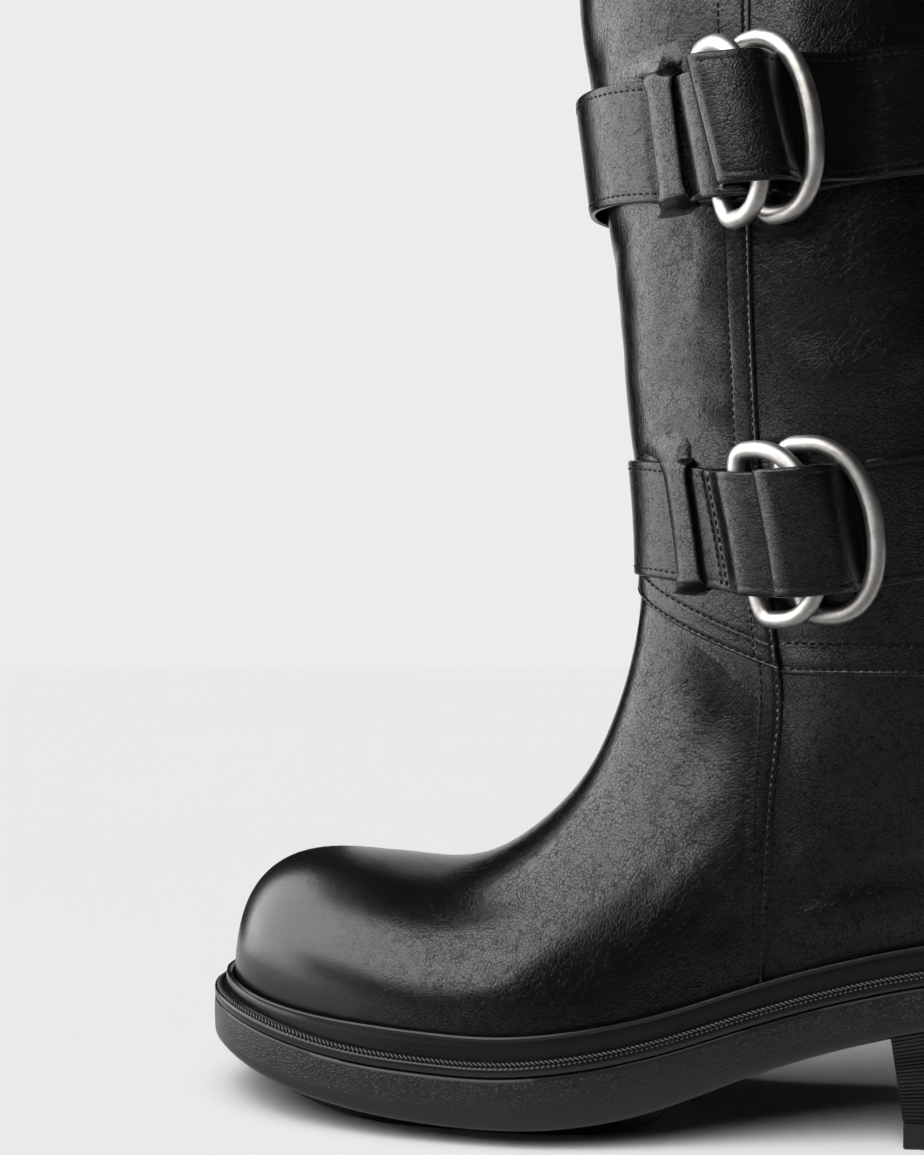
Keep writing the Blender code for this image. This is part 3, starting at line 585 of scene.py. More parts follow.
def threads(runs, long, wide, high, lift=0.0, slant=0.0, sides=6):
    """Joined stitches: one small capsule at each place."""
    a = np.linspace(0, 2 * np.pi, sides, endpoint=False)
    along = np.repeat([c[0] for c in CAPSULE], sides)
    across = np.concatenate([c[1] * np.cos(a) for c in CAPSULE])
    up = np.concatenate([c[1] * np.sin(a) for c in CAPSULE])
    m = len(CAPSULE) * sides
    mould = [tuple(f) for f in grid_faces(len(CAPSULE), sides, 0, False, True)]
    mould += [tuple(range(sides))[::-1], tuple(m - sides + k for k in range(sides))]
    mould = outward(np.stack([along, across, up], 1), mould)
    points, faces, start = [], [], 0
    for p, t, n in runs:
        b = np.cross(n, t)
        c, s = math.cos(math.radians(slant)), math.sin(math.radians(slant))
        t2, b2 = c * t + s * b, c * b - s * t
        q = (p[:, None] + t2[:, None] * (along * long)[None, :, None] + b2[:, None] * (across * wide / 2)[None, :, None]
             + n[:, None] * (up * high / 2 + lift)[None, :, None])
        points.append(q.reshape(-1, 3))
        for k in range(len(p)):
            faces += [tuple(start + k * m + v for v in f) for f in mould]
        start += len(p) * m
    return np.concatenate(points), faces


# ------------------------------------------------------------------ materials
class Finish:
    """A node material built up in code."""

    def __init__(self, name, base, rough, metal=0.0, specular=0.5, coat=0.0, coat_rough=0.2):
        self.mat = bpy.data.materials.new(name)
        self.mat.use_nodes = True
        self.tree = self.mat.node_tree
        self.bsdf = self.tree.nodes["Principled BSDF"]
        self.bsdf.inputs["Base Color"].default_value = (*base, 1.0)
        self.bsdf.inputs["Roughness"].default_value = rough
        self.bsdf.inputs["Metallic"].default_value = metal
        self.bsdf.inputs["Specular IOR Level"].default_value = specular
        self.bsdf.inputs["Coat Weight"].default_value = coat
        self.bsdf.inputs["Coat Roughness"].default_value = coat_rough
        self.where = self.node("ShaderNodeTexCoord").outputs["Object"]
        self.bumped = None

    def node(self, kind, **settings):
        n = self.tree.nodes.new(kind)
        for k, v in settings.items():
            setattr(n, k, v)
        return n

    def put(self, socket, value):
        if isinstance(value, bpy.types.NodeSocket):
            self.tree.links.new(value, socket)
        else:
            socket.default_value = value

    def math(self, how, a, b=0.0, clamp=False):
        n = self.node("ShaderNodeMath", operation=how, use_clamp=clamp)
        self.put(n.inputs[0], a)
        self.put(n.inputs[1], b)
        return n.outputs[0]

    def noise(self, scale, detail=2.0, rough=0.5, where=None, distortion=0.0):
        n = self.node("ShaderNodeTexNoise")
        self.put(n.inputs["Vector"], where or self.where)
        n.inputs["Scale"].default_value = scale
        n.inputs["Detail"].default_value = detail
        n.inputs["Roughness"].default_value = rough
        n.inputs["Distortion"].default_value = distortion
        return n.outputs["Fac"]

    def stretched(self, scale, turn=(0.0, 0.0, 0.0), warp=0.0, warp_scale=60.0):
        n = self.node("ShaderNodeMapping", vector_type="TEXTURE")
        self.put(n.inputs["Vector"], self.where)
        n.inputs["Scale"].default_value = scale
        n.inputs["Rotation"].default_value = tuple(math.radians(a) for a in turn)
        if not warp:
            return n.outputs["Vector"]
        w = self.node("ShaderNodeTexNoise")
        self.put(w.inputs["Vector"], self.where)
        w.inputs["Scale"].default_value = warp_scale
        w.inputs["Detail"].default_value = 2.0
        half = self.node("ShaderNodeVectorMath", operation="SUBTRACT")
        self.put(half.inputs[0], w.outputs["Color"])
        half.inputs[1].default_value = (0.5, 0.5, 0.5)
        size = self.node("ShaderNodeVectorMath", operation="SCALE")
        self.put(size.inputs[0], half.outputs[0])
        size.inputs["Scale"].default_value = warp
        add = self.node("ShaderNodeVectorMath", operation="ADD")
        self.put(add.inputs[0], n.outputs["Vector"])
        self.put(add.inputs[1], size.outputs[0])
        return add.outputs[0]

    def cells(self, scale, where, feature="DISTANCE_TO_EDGE"):
        n = self.node("ShaderNodeTexVoronoi", feature=feature)
        self.put(n.inputs["Vector"], where)
        n.inputs["Scale"].default_value = scale
        return n.outputs["Distance"]

    def span(self, value, low, high, to_low=0.0, to_high=1.0):
        n = self.node("ShaderNodeMapRange", interpolation_type="SMOOTHSTEP")
        self.put(n.inputs["Value"], value)
        n.inputs["From Min"].default_value = low
        n.inputs["From Max"].default_value = high
        n.inputs["To Min"].default_value = to_low
        n.inputs["To Max"].default_value = to_high
        return n.outputs["Result"]

    def value(self, key):
        return self.node("ShaderNodeAttribute", attribute_name=key).outputs["Fac"]

    def bump(self, height, deep_mm, strength=1.0):
        n = self.node("ShaderNodeBump")
        n.inputs["Distance"].default_value = deep_mm * MM
        self.put(n.inputs["Strength"], strength)
        self.put(n.inputs["Height"], height)
        if self.bumped:
            self.put(n.inputs["Normal"], self.bumped)
        self.bumped = n.outputs["Normal"]

    def colours(self, value, *stops):
        n = self.node("ShaderNodeValToRGB")
        ramp = n.color_ramp
        while len(ramp.elements) < len(stops):
            ramp.elements.new(0.5)
        for e, (at, c) in zip(ramp.elements, stops):
            e.position = at
            e.color = (*c, 1.0)
        self.put(n.inputs["Fac"], value)
        self.put(self.bsdf.inputs["Base Color"], n.outputs["Color"])

    def rough(self, value):
        self.put(self.bsdf.inputs["Roughness"], value)

    def done(self):
        if self.bumped:
            self.put(self.bsdf.inputs["Normal"], self.bumped)
        return self.mat


def grey(v, warm=0.0):
    return (v * (1 + warm), v, v * (1 - warm))


def leather(name, shade, rough, grain, deep, long=1.5, turn=28.0, smooth_toe=True):
    """Smooth black leather: fine grain drawn out along one slant, with painted shade in its crevices (they lose their
    gloss), longer creases, cloudy sheen.
    """
    f = Finish(name, grey(shade), rough, specular=0.5)
    slant = f.stretched((1.0, 1.0, long), (0, turn, 0), 0.0007, 900.0)
    edge = f.cells(1000.0 / grain, slant)
    groove = f.span(edge, 0.0, 0.16, 1.0, 0.0)
    dome = f.math("POWER", f.cells(1000.0 / grain, slant, "F1"), 2.0)
    drawn = f.span(f.cells(1000.0 / (3.4 * grain), f.stretched((1.0, 1.0, 2.4), (0, turn + 6, 0), 0.004, 160.0)), 0.0, 0.06, 1.0, 0.0)
    fine = f.noise(2800.0, 2.0, 0.6)
    cloud = f.noise(34.0, 3.0, 0.55)
    patch = f.noise(260.0, 3.0, 0.6)
    uneven = f.span(patch, 0.30, 0.66, 0.60, 1.0)
    if smooth_toe:
        # the blocked toe is drawn smooth
        axes = f.node("ShaderNodeSeparateXYZ")
        f.put(axes.inputs[0], f.where)
        uneven = f.math("MULTIPLY", uneven, f.span(axes.outputs["X"], -0.110, -0.050, 0.34, 1.0))
    f.bump(f.noise(190.0, 2.0, 0.5), 0.05)
    f.bump(f.math("MULTIPLY", drawn, -1.0), 0.020 * deep, uneven)
    f.bump(f.math("MULTIPLY", dome, -1.0), 0.022 * deep, uneven)
    f.bump(f.math("MULTIPLY", groove, -1.0), 0.012 * deep, uneven)
    f.bump(fine, 0.006 * deep)
    worn = f.math("ADD", f.math("MULTIPLY", cloud, 0.08), f.math("MULTIPLY", patch, 0.05))
    if smooth_toe:
        worn = f.math("ADD", worn, f.span(axes.outputs["X"], -0.110, -0.040, 0.07, 0.0))
    f.rough(f.math("ADD", worn, rough - 0.065, True))
    # painted shade: the specular level falls in the grain's crevices and drawn lines, standing in for the shadow that
    # falls inside them
    crevice_shade_mask = f.math("MULTIPLY", f.math("MAXIMUM", groove, f.math("MULTIPLY", drawn, 0.8)), uneven)
    f.put(f.bsdf.inputs["Specular IOR Level"], f.span(crevice_shade_mask, 0.0, 1.0, 0.54, 0.13))
    f.colours(cloud, (0.3, grey(shade * 0.7)), (0.7, grey(shade * 1.25)))
    return f.done()


def rubber(name, shade, rough):
    f = Finish(name, grey(shade, 0.02), rough, specular=0.36)
    cloud = f.noise(40.0, 3.0, 0.55)
    f.bump(f.noise(1500.0, 3.0, 0.6), 0.018)
    f.rough(f.math("ADD", f.math("MULTIPLY", cloud, 0.16), rough - 0.08, True))
    f.colours(cloud, (0.3, grey(shade * 0.85, 0.02)), (0.75, grey(shade * 1.15, 0.02)))
    return f.done()


def wall_rubber(name, shade, rough):
    """Outsole: a grained band round the wall between two smooth ones; down is the depth below the wall's top edge."""
    f = Finish(name, grey(shade, 0.02), rough, specular=0.40)
    down = f.value("down")
    band = f.math("MULTIPLY", f.span(down, 4.2, 5.0), f.span(down, 12.4, 14.2, 1.0, 0.0))
    grain = f.span(f.cells(1150.0, f.stretched((1.0, 1.0, 1.7), (0, 56, 0), 0.0012, 700.0)), 0.0, 0.34)
    cloud = f.noise(30.0, 3.0, 0.55)
    fine = f.noise(1700.0, 3.0, 0.6)
    f.bump(fine, 0.014)
    f.bump(grain, 0.075, band)
    f.rough(f.math("ADD", f.math("MULTIPLY", cloud, 0.16), rough - 0.08, True))
    f.colours(cloud, (0.3, grey(shade * 0.85, 0.02)), (0.75, grey(shade * 1.15, 0.02)))
    return f.done()


def metal(name):
    f = Finish(name, (0.78, 0.77, 0.75), 0.42, metal=1.0)
    cloud = f.noise(160.0, 4.0, 0.6)
    speck = f.noise(900.0, 3.0, 0.65)
    f.bump(speck, 0.02, 0.7)
    f.bump(f.noise(260.0, 2.0, 0.5), 0.05, 0.6)
    f.rough(f.math("ADD", f.math("MULTIPLY", cloud, 0.24), 0.31, True))
    f.colours(f.math("ADD", f.math("MULTIPLY", cloud, 0.6), f.math("MULTIPLY", speck, 0.4)),
              (0.28, (0.16, 0.14, 0.12)), (0.42, (0.36, 0.345, 0.325)), (0.7, (0.52, 0.51, 0.50)))
    return f.done()


def thread(name, colour, rough=0.55, specular=0.5):
    f = Finish(name, colour, rough, specular=specular)
    f.bump(f.noise(2600.0, 2.0, 0.6), 0.05)
    f.colours(f.noise(700.0, 2.0, 0.5), (0.3, tuple(c * 0.6 for c in colour)), (0.8, tuple(c * 1.3 for c in colour)))
    return f.done()


def plain_leather(name, shade, rough):
    f = Finish(name, grey(shade, 0.03), rough)
    cloud = f.noise(45.0, 3.0, 0.6)
    f.bump(f.noise(900.0, 3.0, 0.6), 0.06)
    f.rough(f.math("ADD", f.math("MULTIPLY", cloud, 0.2), rough - 0.1, True))
    f.colours(cloud, (0.3, grey(shade * 0.75, 0.03)), (0.75, grey(shade * 1.25, 0.03)))
    return f.done()


LEATHER = leather("upper_leather", 0.003, 0.19, 0.80, 1.0, 1.5)
STRAP = leather("strap_leather", 0.0035, 0.19, 0.80, 1.2, 1.15, 62.0, False)
RUBBER = rubber("sole_rubber", 0.005, 0.36)
WALL_RUBBER = wall_rubber("wall_rubber", 0.006, 0.34)
WELT = rubber("welt_rubber", 0.005, 0.22)
METAL = metal("ring_metal")
THREAD = thread("black_thread", (0.004, 0.004, 0.004), 0.62, 0.12)
ROPE = thread("welt_thread", (0.013, 0.011, 0.008), 0.42)
LINING = plain_leather("lining_leather", 0.030, 0.6)
BOARD = plain_leather("insole_board", 0.075, 0.75)

# ------------------------------------------------------------------ foot panels
DENSE = np.array([0.0, 0.25, 0.6, 1.0, 1.25, 1.5, 1.75, 2.05, 2.7, 3.8, 5.2, 6.5, 7.0, 7.25, 7.5, 7.75, 8.1, 9.0, 10.5, 12.5, 15.0])


def channel(e):
    """Pull of the two stitch rows beside a raw edge, and the edge's own rounding."""
    return -0.32 * bell(e - ROW_NEAR, 0.55) - 0.20 * bell(e - ROW_FAR, 0.7) - 0.42 * np.clip(1 - e / 0.6, 0, 1) ** 2


def seam_x(t, side, ahead=0.0):
    """x of each section where it crosses the seam (1 where it ends on the sole first)."""
    x = np.linspace(0, 1, 1201)
    out = []
    for row in np.atleast_1d(t):
        p = upper(np.full_like(x, row), x, side)
        over = p[:, 0] - (seam_u(p[:, 2]) - ahead)
        hit = np.nonzero(over >= 0)[0]
        if len(hit) == 0 or hit[0] == 0:
            out.append(1.0)
        else:
            k = hit[0]
            out.append(x[k - 1] + (x[k] - x[k - 1]) * -over[k - 1] / (over[k] - over[k - 1]))
    return np.array(out)


def reach(t, side, far):
    """x by way along each section, measured from its end at far: (rows, len(DENSE) + even)."""
    fine = np.linspace(0, 1, 301)
    out = []
    even = np.linspace(0, 1, 40)[:-1]
    for row, end in zip(t, far):
        x = end * fine
        p = upper(np.full_like(x, row), x, side)
        way = np.concatenate([[0], np.cumsum(np.linalg.norm(np.diff(p, axis=0), axis=1))])
        total = way[-1]
        squeeze = min(1.0, total / 40.0)
        d = DENSE[::-1] * squeeze
        want = np.concatenate([even * (total - d[0]), total - d])
        out.append(np.interp(want, way, x))
    return np.array(out)


def vamp_grids():
    t_top = 5.42
    tau = np.concatenate([-1 + np.linspace(0, 1, 46)[:-1] ** 1.2, np.linspace(0, 3.2, 58)[:-1], np.linspace(3.2, t_top, 56)])
    grids, lines = [], []
    for side in (1, -1):
        lift = 0.24 * np.clip((tau - 4.2) / (t_top - 4.2), 0, 1)
        far = seam_x(tau + lift, side)
        x = reach(tau + lift, side, far)
        share = np.linspace(0, 1, x.shape[1])[None, :]
        t = tau[:, None] + lift[:, None] * np.clip(x / far[:, None], 0, 1) + 0 * share
        p, n = upper(t, x, side), upper_normal(t, x, side)
        n[0] = (-1.0, 0.0, 0.0)
        e = np.where(t > 3.3, seam_u(p[..., 2]) - p[..., 0], 99.0)
        high = soft_foot(p[..., 0], p[..., 2]) * ease(0, 16, e) + np.where(t > 3.3, channel(np.maximum(e, 0)) + 0.25 * bell(np.maximum(e, 0), 8.0), 0.0)
        high = high + 0.8 * (1 - ease(0.0, 34.0, p[..., 0]))
        n[:, 0] = n[:, 0] * (1, 0, 1)
        n[:, 0] /= np.linalg.norm(n[:, 0], axis=-1, keepdims=True)
        q = p + high[..., None] * n
        grids.append((q, n, {"edge": np.clip(e, 0, 99)}))
        count = len(DENSE)
        from_row = int(np.argmax(tau > 3.52))
        for dist in (ROW_NEAR, ROW_FAR):
            j = x.shape[1] - 1 - int(np.argmin(np.abs(DENSE - dist)))
            lines.append((q[from_row:, j], n[from_row:, j]))
    return grids, lines


def counter_grids():
    """Back part of the foot: from under the side seam round the heel."""
    start = 3.36
    grids = []
    for side in (1, -1):
        b = np.concatenate([np.linspace(0, 0.25, 16)[:-1], np.linspace(0.25, 1, 44)])
        fine = np.linspace(start, 7.4, 500)
        first = seam_x(fine, side, 7.0)
        tops = []
        for share in b:
            z = upper(fine, first + (1 - first) * share, side)[:, 2]
            tops.append(np.interp(EDGE_BACK + 10.0, z, fine))
        tops = np.array(tops)
        mark = (HEEL_ROW - start) / (tops[-1] - start)
        tau = np.concatenate([mark * (1 - np.linspace(1, 0, 52) ** 1.7)[:-1], mark + (1 - mark) * np.linspace(0, 1, 54) ** 1.35])
        t = start + (tops[None, :] - start) * tau[:, None]
        x0 = np.interp(t, fine, first)
        x = x0 + (1 - x0) * b[None, :]
        x[:, -1] = 1.0
        t[np.argmin(np.abs(tau - mark)), -1] = HEEL_ROW
        p, n = upper(t, x, side), upper_normal(t, x, side)
        e = p[..., 0] - seam_u(p[..., 2])
        high = -1.35 * bell(np.maximum(e, 0), 9.0) + soft_foot(p[..., 0], p[..., 2]) * ease(2, 14, e)
        q = p + high[..., None] * n
        # the sections turn up the back line at one row: the sheet runs smoothly over it
        soft = (bell(t - HEEL_ROW, 0.55) * (1 - b[None, :] ** 8) * ease(0.0, 0.1, b)[None, :])[..., None]
        for _ in range(90):
            even = q.copy()
            even[1:-1] = 0.25 * q[:-2] + 0.5 * q[1:-1] + 0.25 * q[2:]
            q = q + soft * (even - q)
        grids.append((q, n, {"edge": np.full(e.shape, 99.0)}))
    return grids


# ------------------------------------------------------------------ shaft panels
def edge_front(w):
    w = np.abs(w)
    k = (np.sqrt(w ** 2 + 0.0144) - 0.12) / (math.sqrt(1.0144) - 0.12)
    return EDGE_FRONT - (EDGE_FRONT - EDGE_SIDE) * k ** 0.78


LOW_DENSE = np.array([0.0, 0.25, 0.6, 0.95, 1.2, 1.5, 1.8, 2.4, 3.6, 5.2, 6.6, 7.1, 7.5, 7.9, 8.4, 9.6, 11.5, 14.0])


def shaft_front_grid():
    cols = []
    long = 62.0
    half = np.concatenate([np.linspace(0, 1, 34)[:-1] * (1 - DENSE[-1] / long), 1 - DENSE[::-1] / long])
    w = np.concatenate([-half[:0:-1], half])
    rise = np.concatenate([LOW_DENSE, 14.0 + np.linspace(0, 1, 142)[1:] * (COLLAR_Z - EDGE_FRONT - 14.0)])
    low = edge_front(w)[None, :]
    extra = (EDGE_FRONT - low) * ease(14.0, 70.0, rise)[:, None]
    z = low + rise[:, None] + (COLLAR_Z - low - rise[-1]) * ease(6.0, 70.0, rise)[:, None]
    z = np.where(rise[:, None] <= 14.0, low + rise[:, None], z)
    # even spread between the dense foot and the collar
    k = np.clip((rise - 14.0) / (rise[-1] - 14.0), 0, 1)[:, None]
    z = np.where(rise[:, None] <= 14.0, low + rise[:, None], low + 14.0 + (COLLAR_Z - low - 14.0) * k)
    side = np.where(w >= 0, 1, -1)
    q = np.where(side[None, :] > 0, w[None, :] * shaft.seam_share(1, z), w[None, :] * shaft.seam_share(-1, z))
    p, n = shaft.at(q, z)
    s = q * shaft.long(z)
    e = (1 - np.abs(w))[None, :] * np.where(side[None, :] > 0, shaft.seam_share(1, z), shaft.seam_share(-1, z)) * shaft.long(z)
    e_low = z - low
    high = (0.5 + 0.8 * bell(e_low, 10.0) + soft_shaft(s, z) * ease(0, 14, e)
            + channel(e) * ease(0.5, 4.0, e_low) - 0.28 * bell(e_low - 1.2, 0.55) - 0.26 * bell(e_low - 7.5, 0.6)
            - 0.42 * np.clip(1 - e_low / 0.7, 0, 1) ** 2)
    pts = p + high[..., None] * n
    grid = (pts, n, {"edge": e})
    lines = []
    for dist in (ROW_NEAR, ROW_FAR):
        j = int(np.argmin(np.abs(half - (1 - dist / long))))
        for jj in (len(half) - 1 + j, len(half) - 1 - j):
            i0 = int(np.argmax(e_low[:, jj] > 0.9))
            lines.append((pts[i0:, jj], n[i0:, jj]))
    for rowz in (1.2, 7.5):
        i = int(np.argmin(np.abs(LOW_DENSE - rowz)))
        inside = slice(6, -6) if rowz < 2 else slice(15, -15)
        lines.append((pts[i, inside], n[i, inside]))
    return grid, lines


def shaft_back_grid():
    """From under the outer seam round the back to under the inner seam."""
    b = np.concatenate([np.linspace(0, 0.12, 14)[:-1], np.linspace(0.12, 0.88, 84)[:-1], np.linspace(0.88, 1, 14)])
    rise = np.concatenate([LOW_DENSE, 14.0 + np.linspace(0, 1, 120)[1:] * (COLLAR_Z - EDGE_BACK - 14.0)])
    z = (EDGE_BACK + rise)[:, None] + 0.6 * np.sin(np.pi * b)[None, :] * bell(rise, 40.0)[:, None]
    lap = 7.0 / shaft.long(z)
    first = shaft.seam_share(1, z) - lap
    last = 1 - shaft.seam_share(-1, z) + lap
    q = first + (last - first) * b[None, :]
    p, n = shaft.at(q, z)
    long = shaft.long(z)
    s = np.where(q > 0.5, q - 1, q) * long
    e = np.minimum(q - first, last - q) * long - 7.0
    e_low = rise[:, None] + 0 * z
    high = (0.3 - 1.35 * bell(np.maximum(e, 0), 9.0) + 0.9 * bell(e_low, 10.0) * ease(-2, 10, e) + soft_shaft(s, z) * ease(2, 16, e)
            - 0.28 * bell(e_low - 2.0, 0.55) - 0.26 * bell(e_low - 9.6, 0.6) - 0.42 * np.clip(1 - e_low / 0.7, 0, 1) ** 2)
    pts = p + high[..., None] * n
    lines = []
    for rowz in (1.8, 9.6):
        i = int(np.argmin(np.abs(LOW_DENSE - rowz)))
        keep = (e[i] > 0.8)
        lines.append((pts[i][keep], n[i][keep]))
    return (pts, n, {"edge": np.full(z.shape, 99.0)}), lines


def build_upper():
    stitch = []
    grids, lines = vamp_grids()
    stitch += lines
    p, f, v = shell(grids, LEATHER_THICK)
    make("vamp", p, f, LEATHER, ("upper",), v)
    p, f, v = shell(counter_grids(), LEATHER_THICK)
    make("counter", p, f, LEATHER, ("upper",), v)
    grid, lines = shaft_front_grid()
    stitch += lines
    p, f, v = shell([grid], LEATHER_THICK)
    make("shaft_front", p, f, LEATHER, ("upper",), v)
    grid, lines = shaft_back_grid()
    stitch += lines
    p, f, v = shell([grid], LEATHER_THICK)
    make("shaft_back", p, f, LEATHER, ("upper",), v)
    # collar: turned edge with one row of stitches
    around = 360
    q = np.arange(around) / around
    profile = ((0.75, -7.0), (1.05, -6.4), (1.15, -3.6), (1.1, -1.6), (0.75, -0.5), (0.0, -0.05), (-0.9, 0.0), (-1.9, -0.3), (-2.5, -1.2), (-2.7, -3.0),
               (-2.7, -7.0), (-2.2, -7.4), (0.2, -7.4))
    rings = []
    for out, dz in profile:
        a, n = shaft.flat(q, np.full(around, COLLAR_Z + dz))
        rings.append(a + out * n)
    p, f = swept(np.stack(rings, 1), True)
    make("collar", p, outward(p, f), LEATHER, ("upper",))
    a, n = shaft.flat(np.arange(around + 1) / around, np.full(around + 1, COLLAR_Z - 4.6))
    stitch.append((a + 1.05 * n, n))
    runs = [run_line(a, b, STITCH, 0.6, 0.6) for a, b in stitch]
    p, f = threads(runs, 0.66 * STITCH, 0.76, 0.50, 0.10)
    make("upper_stitches", p, f, THREAD, sharp=0)
    # lining
    t = np.concatenate([-1 + np.linspace(0, 1, 22)[:-1] ** 1.2, np.linspace(0, HEEL_ROW - 1, 28)[:-1], HEEL_ROW - 1 + np.sin(np.linspace(0, np.pi / 2, 16))[:-1],
                        np.linspace(HEEL_ROW, ROWS - 1, 44)])
    x = np.linspace(0, 1, 34)
    tt, xx = np.meshgrid(t, x, indexing="ij")
    grids = []
    for side in (1, -1):
        a, n = upper(tt, xx, side), upper_normal(tt, xx, side)
        n[0] = (-1.0, 0.0, 0.0)
        a = a - 1.75 * n
        a[..., 2] = np.minimum(a[..., 2], COLLAR_Z - 1.0)
        grids.append((a, n, {}))
    p, f, v = shell(grids, 0.6)
    make("lining", p, f, LINING, ("upper",))


# ------------------------------------------------------------------ straps, rings, loops
def smooth_path(points, step):
    p = np.asarray(points, float)
    q = np.concatenate([[2 * p[0] - p[1]], p, [2 * p[-1] - p[-2]]])
    out = []
    for i in range(1, len(q) - 2):
        a, b, c, d = q[i - 1:i + 3]
        for t in np.linspace(0, 1, 16, endpoint=False):
            out.append(0.5 * (2 * b + (c - a) * t + (2 * a - 5 * b + 4 * c - d) * t ** 2 + (3 * b - a - 3 * c + d) * t ** 3))
    out.append(p[-1])
    out = np.array(out)
    s = np.concatenate([[0], np.cumsum(np.linalg.norm(np.diff(out, axis=0), axis=1))])
    k = np.linspace(0, s[-1], max(2, int(round(s[-1] / step)) + 1))
    return np.stack([np.interp(k, s, out[:, c]) for c in (0, 1)], 1)


def strap_path(row, round_way):
    slack, ring_at, af, ao, bb, bf, bo, fold = row[3], *row[5:12]
    low = STRAP_AIR + STRAP_THICK / 2
    top = ao + 4.0
    under = min(12.8, top - 4.2)
    end = [(-8.2, low), (0.0, low), (bb - 4, low), (bb, low), (bb + 2.9, BAR_OFF - 3.0), (bb + 4.1, BAR_OFF), (bb + 2.9, BAR_OFF + 2.9),
           (bb, BAR_OFF + 4.1), (bb / 2, BAR_OFF + 4.3), (0.0, BAR_OFF + 4.2), (-3.2, BAR_OFF + 2.9), (-5.6, BAR_OFF + 0.5),
           (-7.5, 4.5), (-9.3, 3.5), (-11.5, 2.2), (-14.0, low)]
    rise = [(bb + 11.5, low), (bb + 8.7, 1.9), (bb + 7.2, 3.5), (bb + 6.6, 5.7), (bb + 5.7, 8.5), (bb + 4.1, 10.9)]
    turn = [(bb + 1.2, under - 0.2), (fold + 3.6, (under + top) / 2 - 1.8), (fold + 1.0, (under + top) / 2 - 0.9), (fold, (under + top) / 2 + 0.5),
            (fold + 1.1, top + 0.2), (fold + 3.2, top + 1.5), (fold + 5.8, top + 1.3), (af - 2.2, top + 0.6), (af + 0.6, top - 0.1), (af + 3.2, ao + 2.8)]
    fall = [((af + 3.2 + bf - 4.8) / 2, (ao + 2.9 + bo - 3.5) / 2), (bf - 4.8, bo - 3.5), (bf - 2.4, bo - 4.9), (bf, bo - 5.7)]
    lie = low + STRAP_THICK + 0.4
    tail = [(bf + 5, 0.55 * (bo - 5.5) + 0.45 * lie + 0.2), (bf + 10, 0.2 * (bo - 5.5) + 0.8 * lie + 0.1), (bf + 16, lie), (bf + 24, lie), (bf + 36, lie)]
    a = smooth_path(end + [(-17.0, low), (-20.0, low)], 0.9)
    c = smooth_path([(s - round_way, d) for s, d in [(bb + 18.0, low), (bb + 15.0, low)] + rise + turn + fall + tail], 0.9)
    b = np.array([(s, low + slack * math.exp(-((s + ring_at) / SLACK_RUN) ** 2)) for s in np.linspace(a[-1, 0], c[0, 0], 200)])
    return np.concatenate([a, b[1:-1], c]), len(a), len(c)


HALF_SECTION = ((0.0, 0.97), (6.0, 0.98), (11.0, 1.0), (14.4, 1.0), (15.1, 0.98), (15.6, 0.93), (15.8, 0.92), (16.0, 0.93), (16.5, 0.98), (17.3, 1.0), (17.9, 0.92), (18.3, 0.70),
                (18.5, 0.30))
STRAP_ROW = 15.8


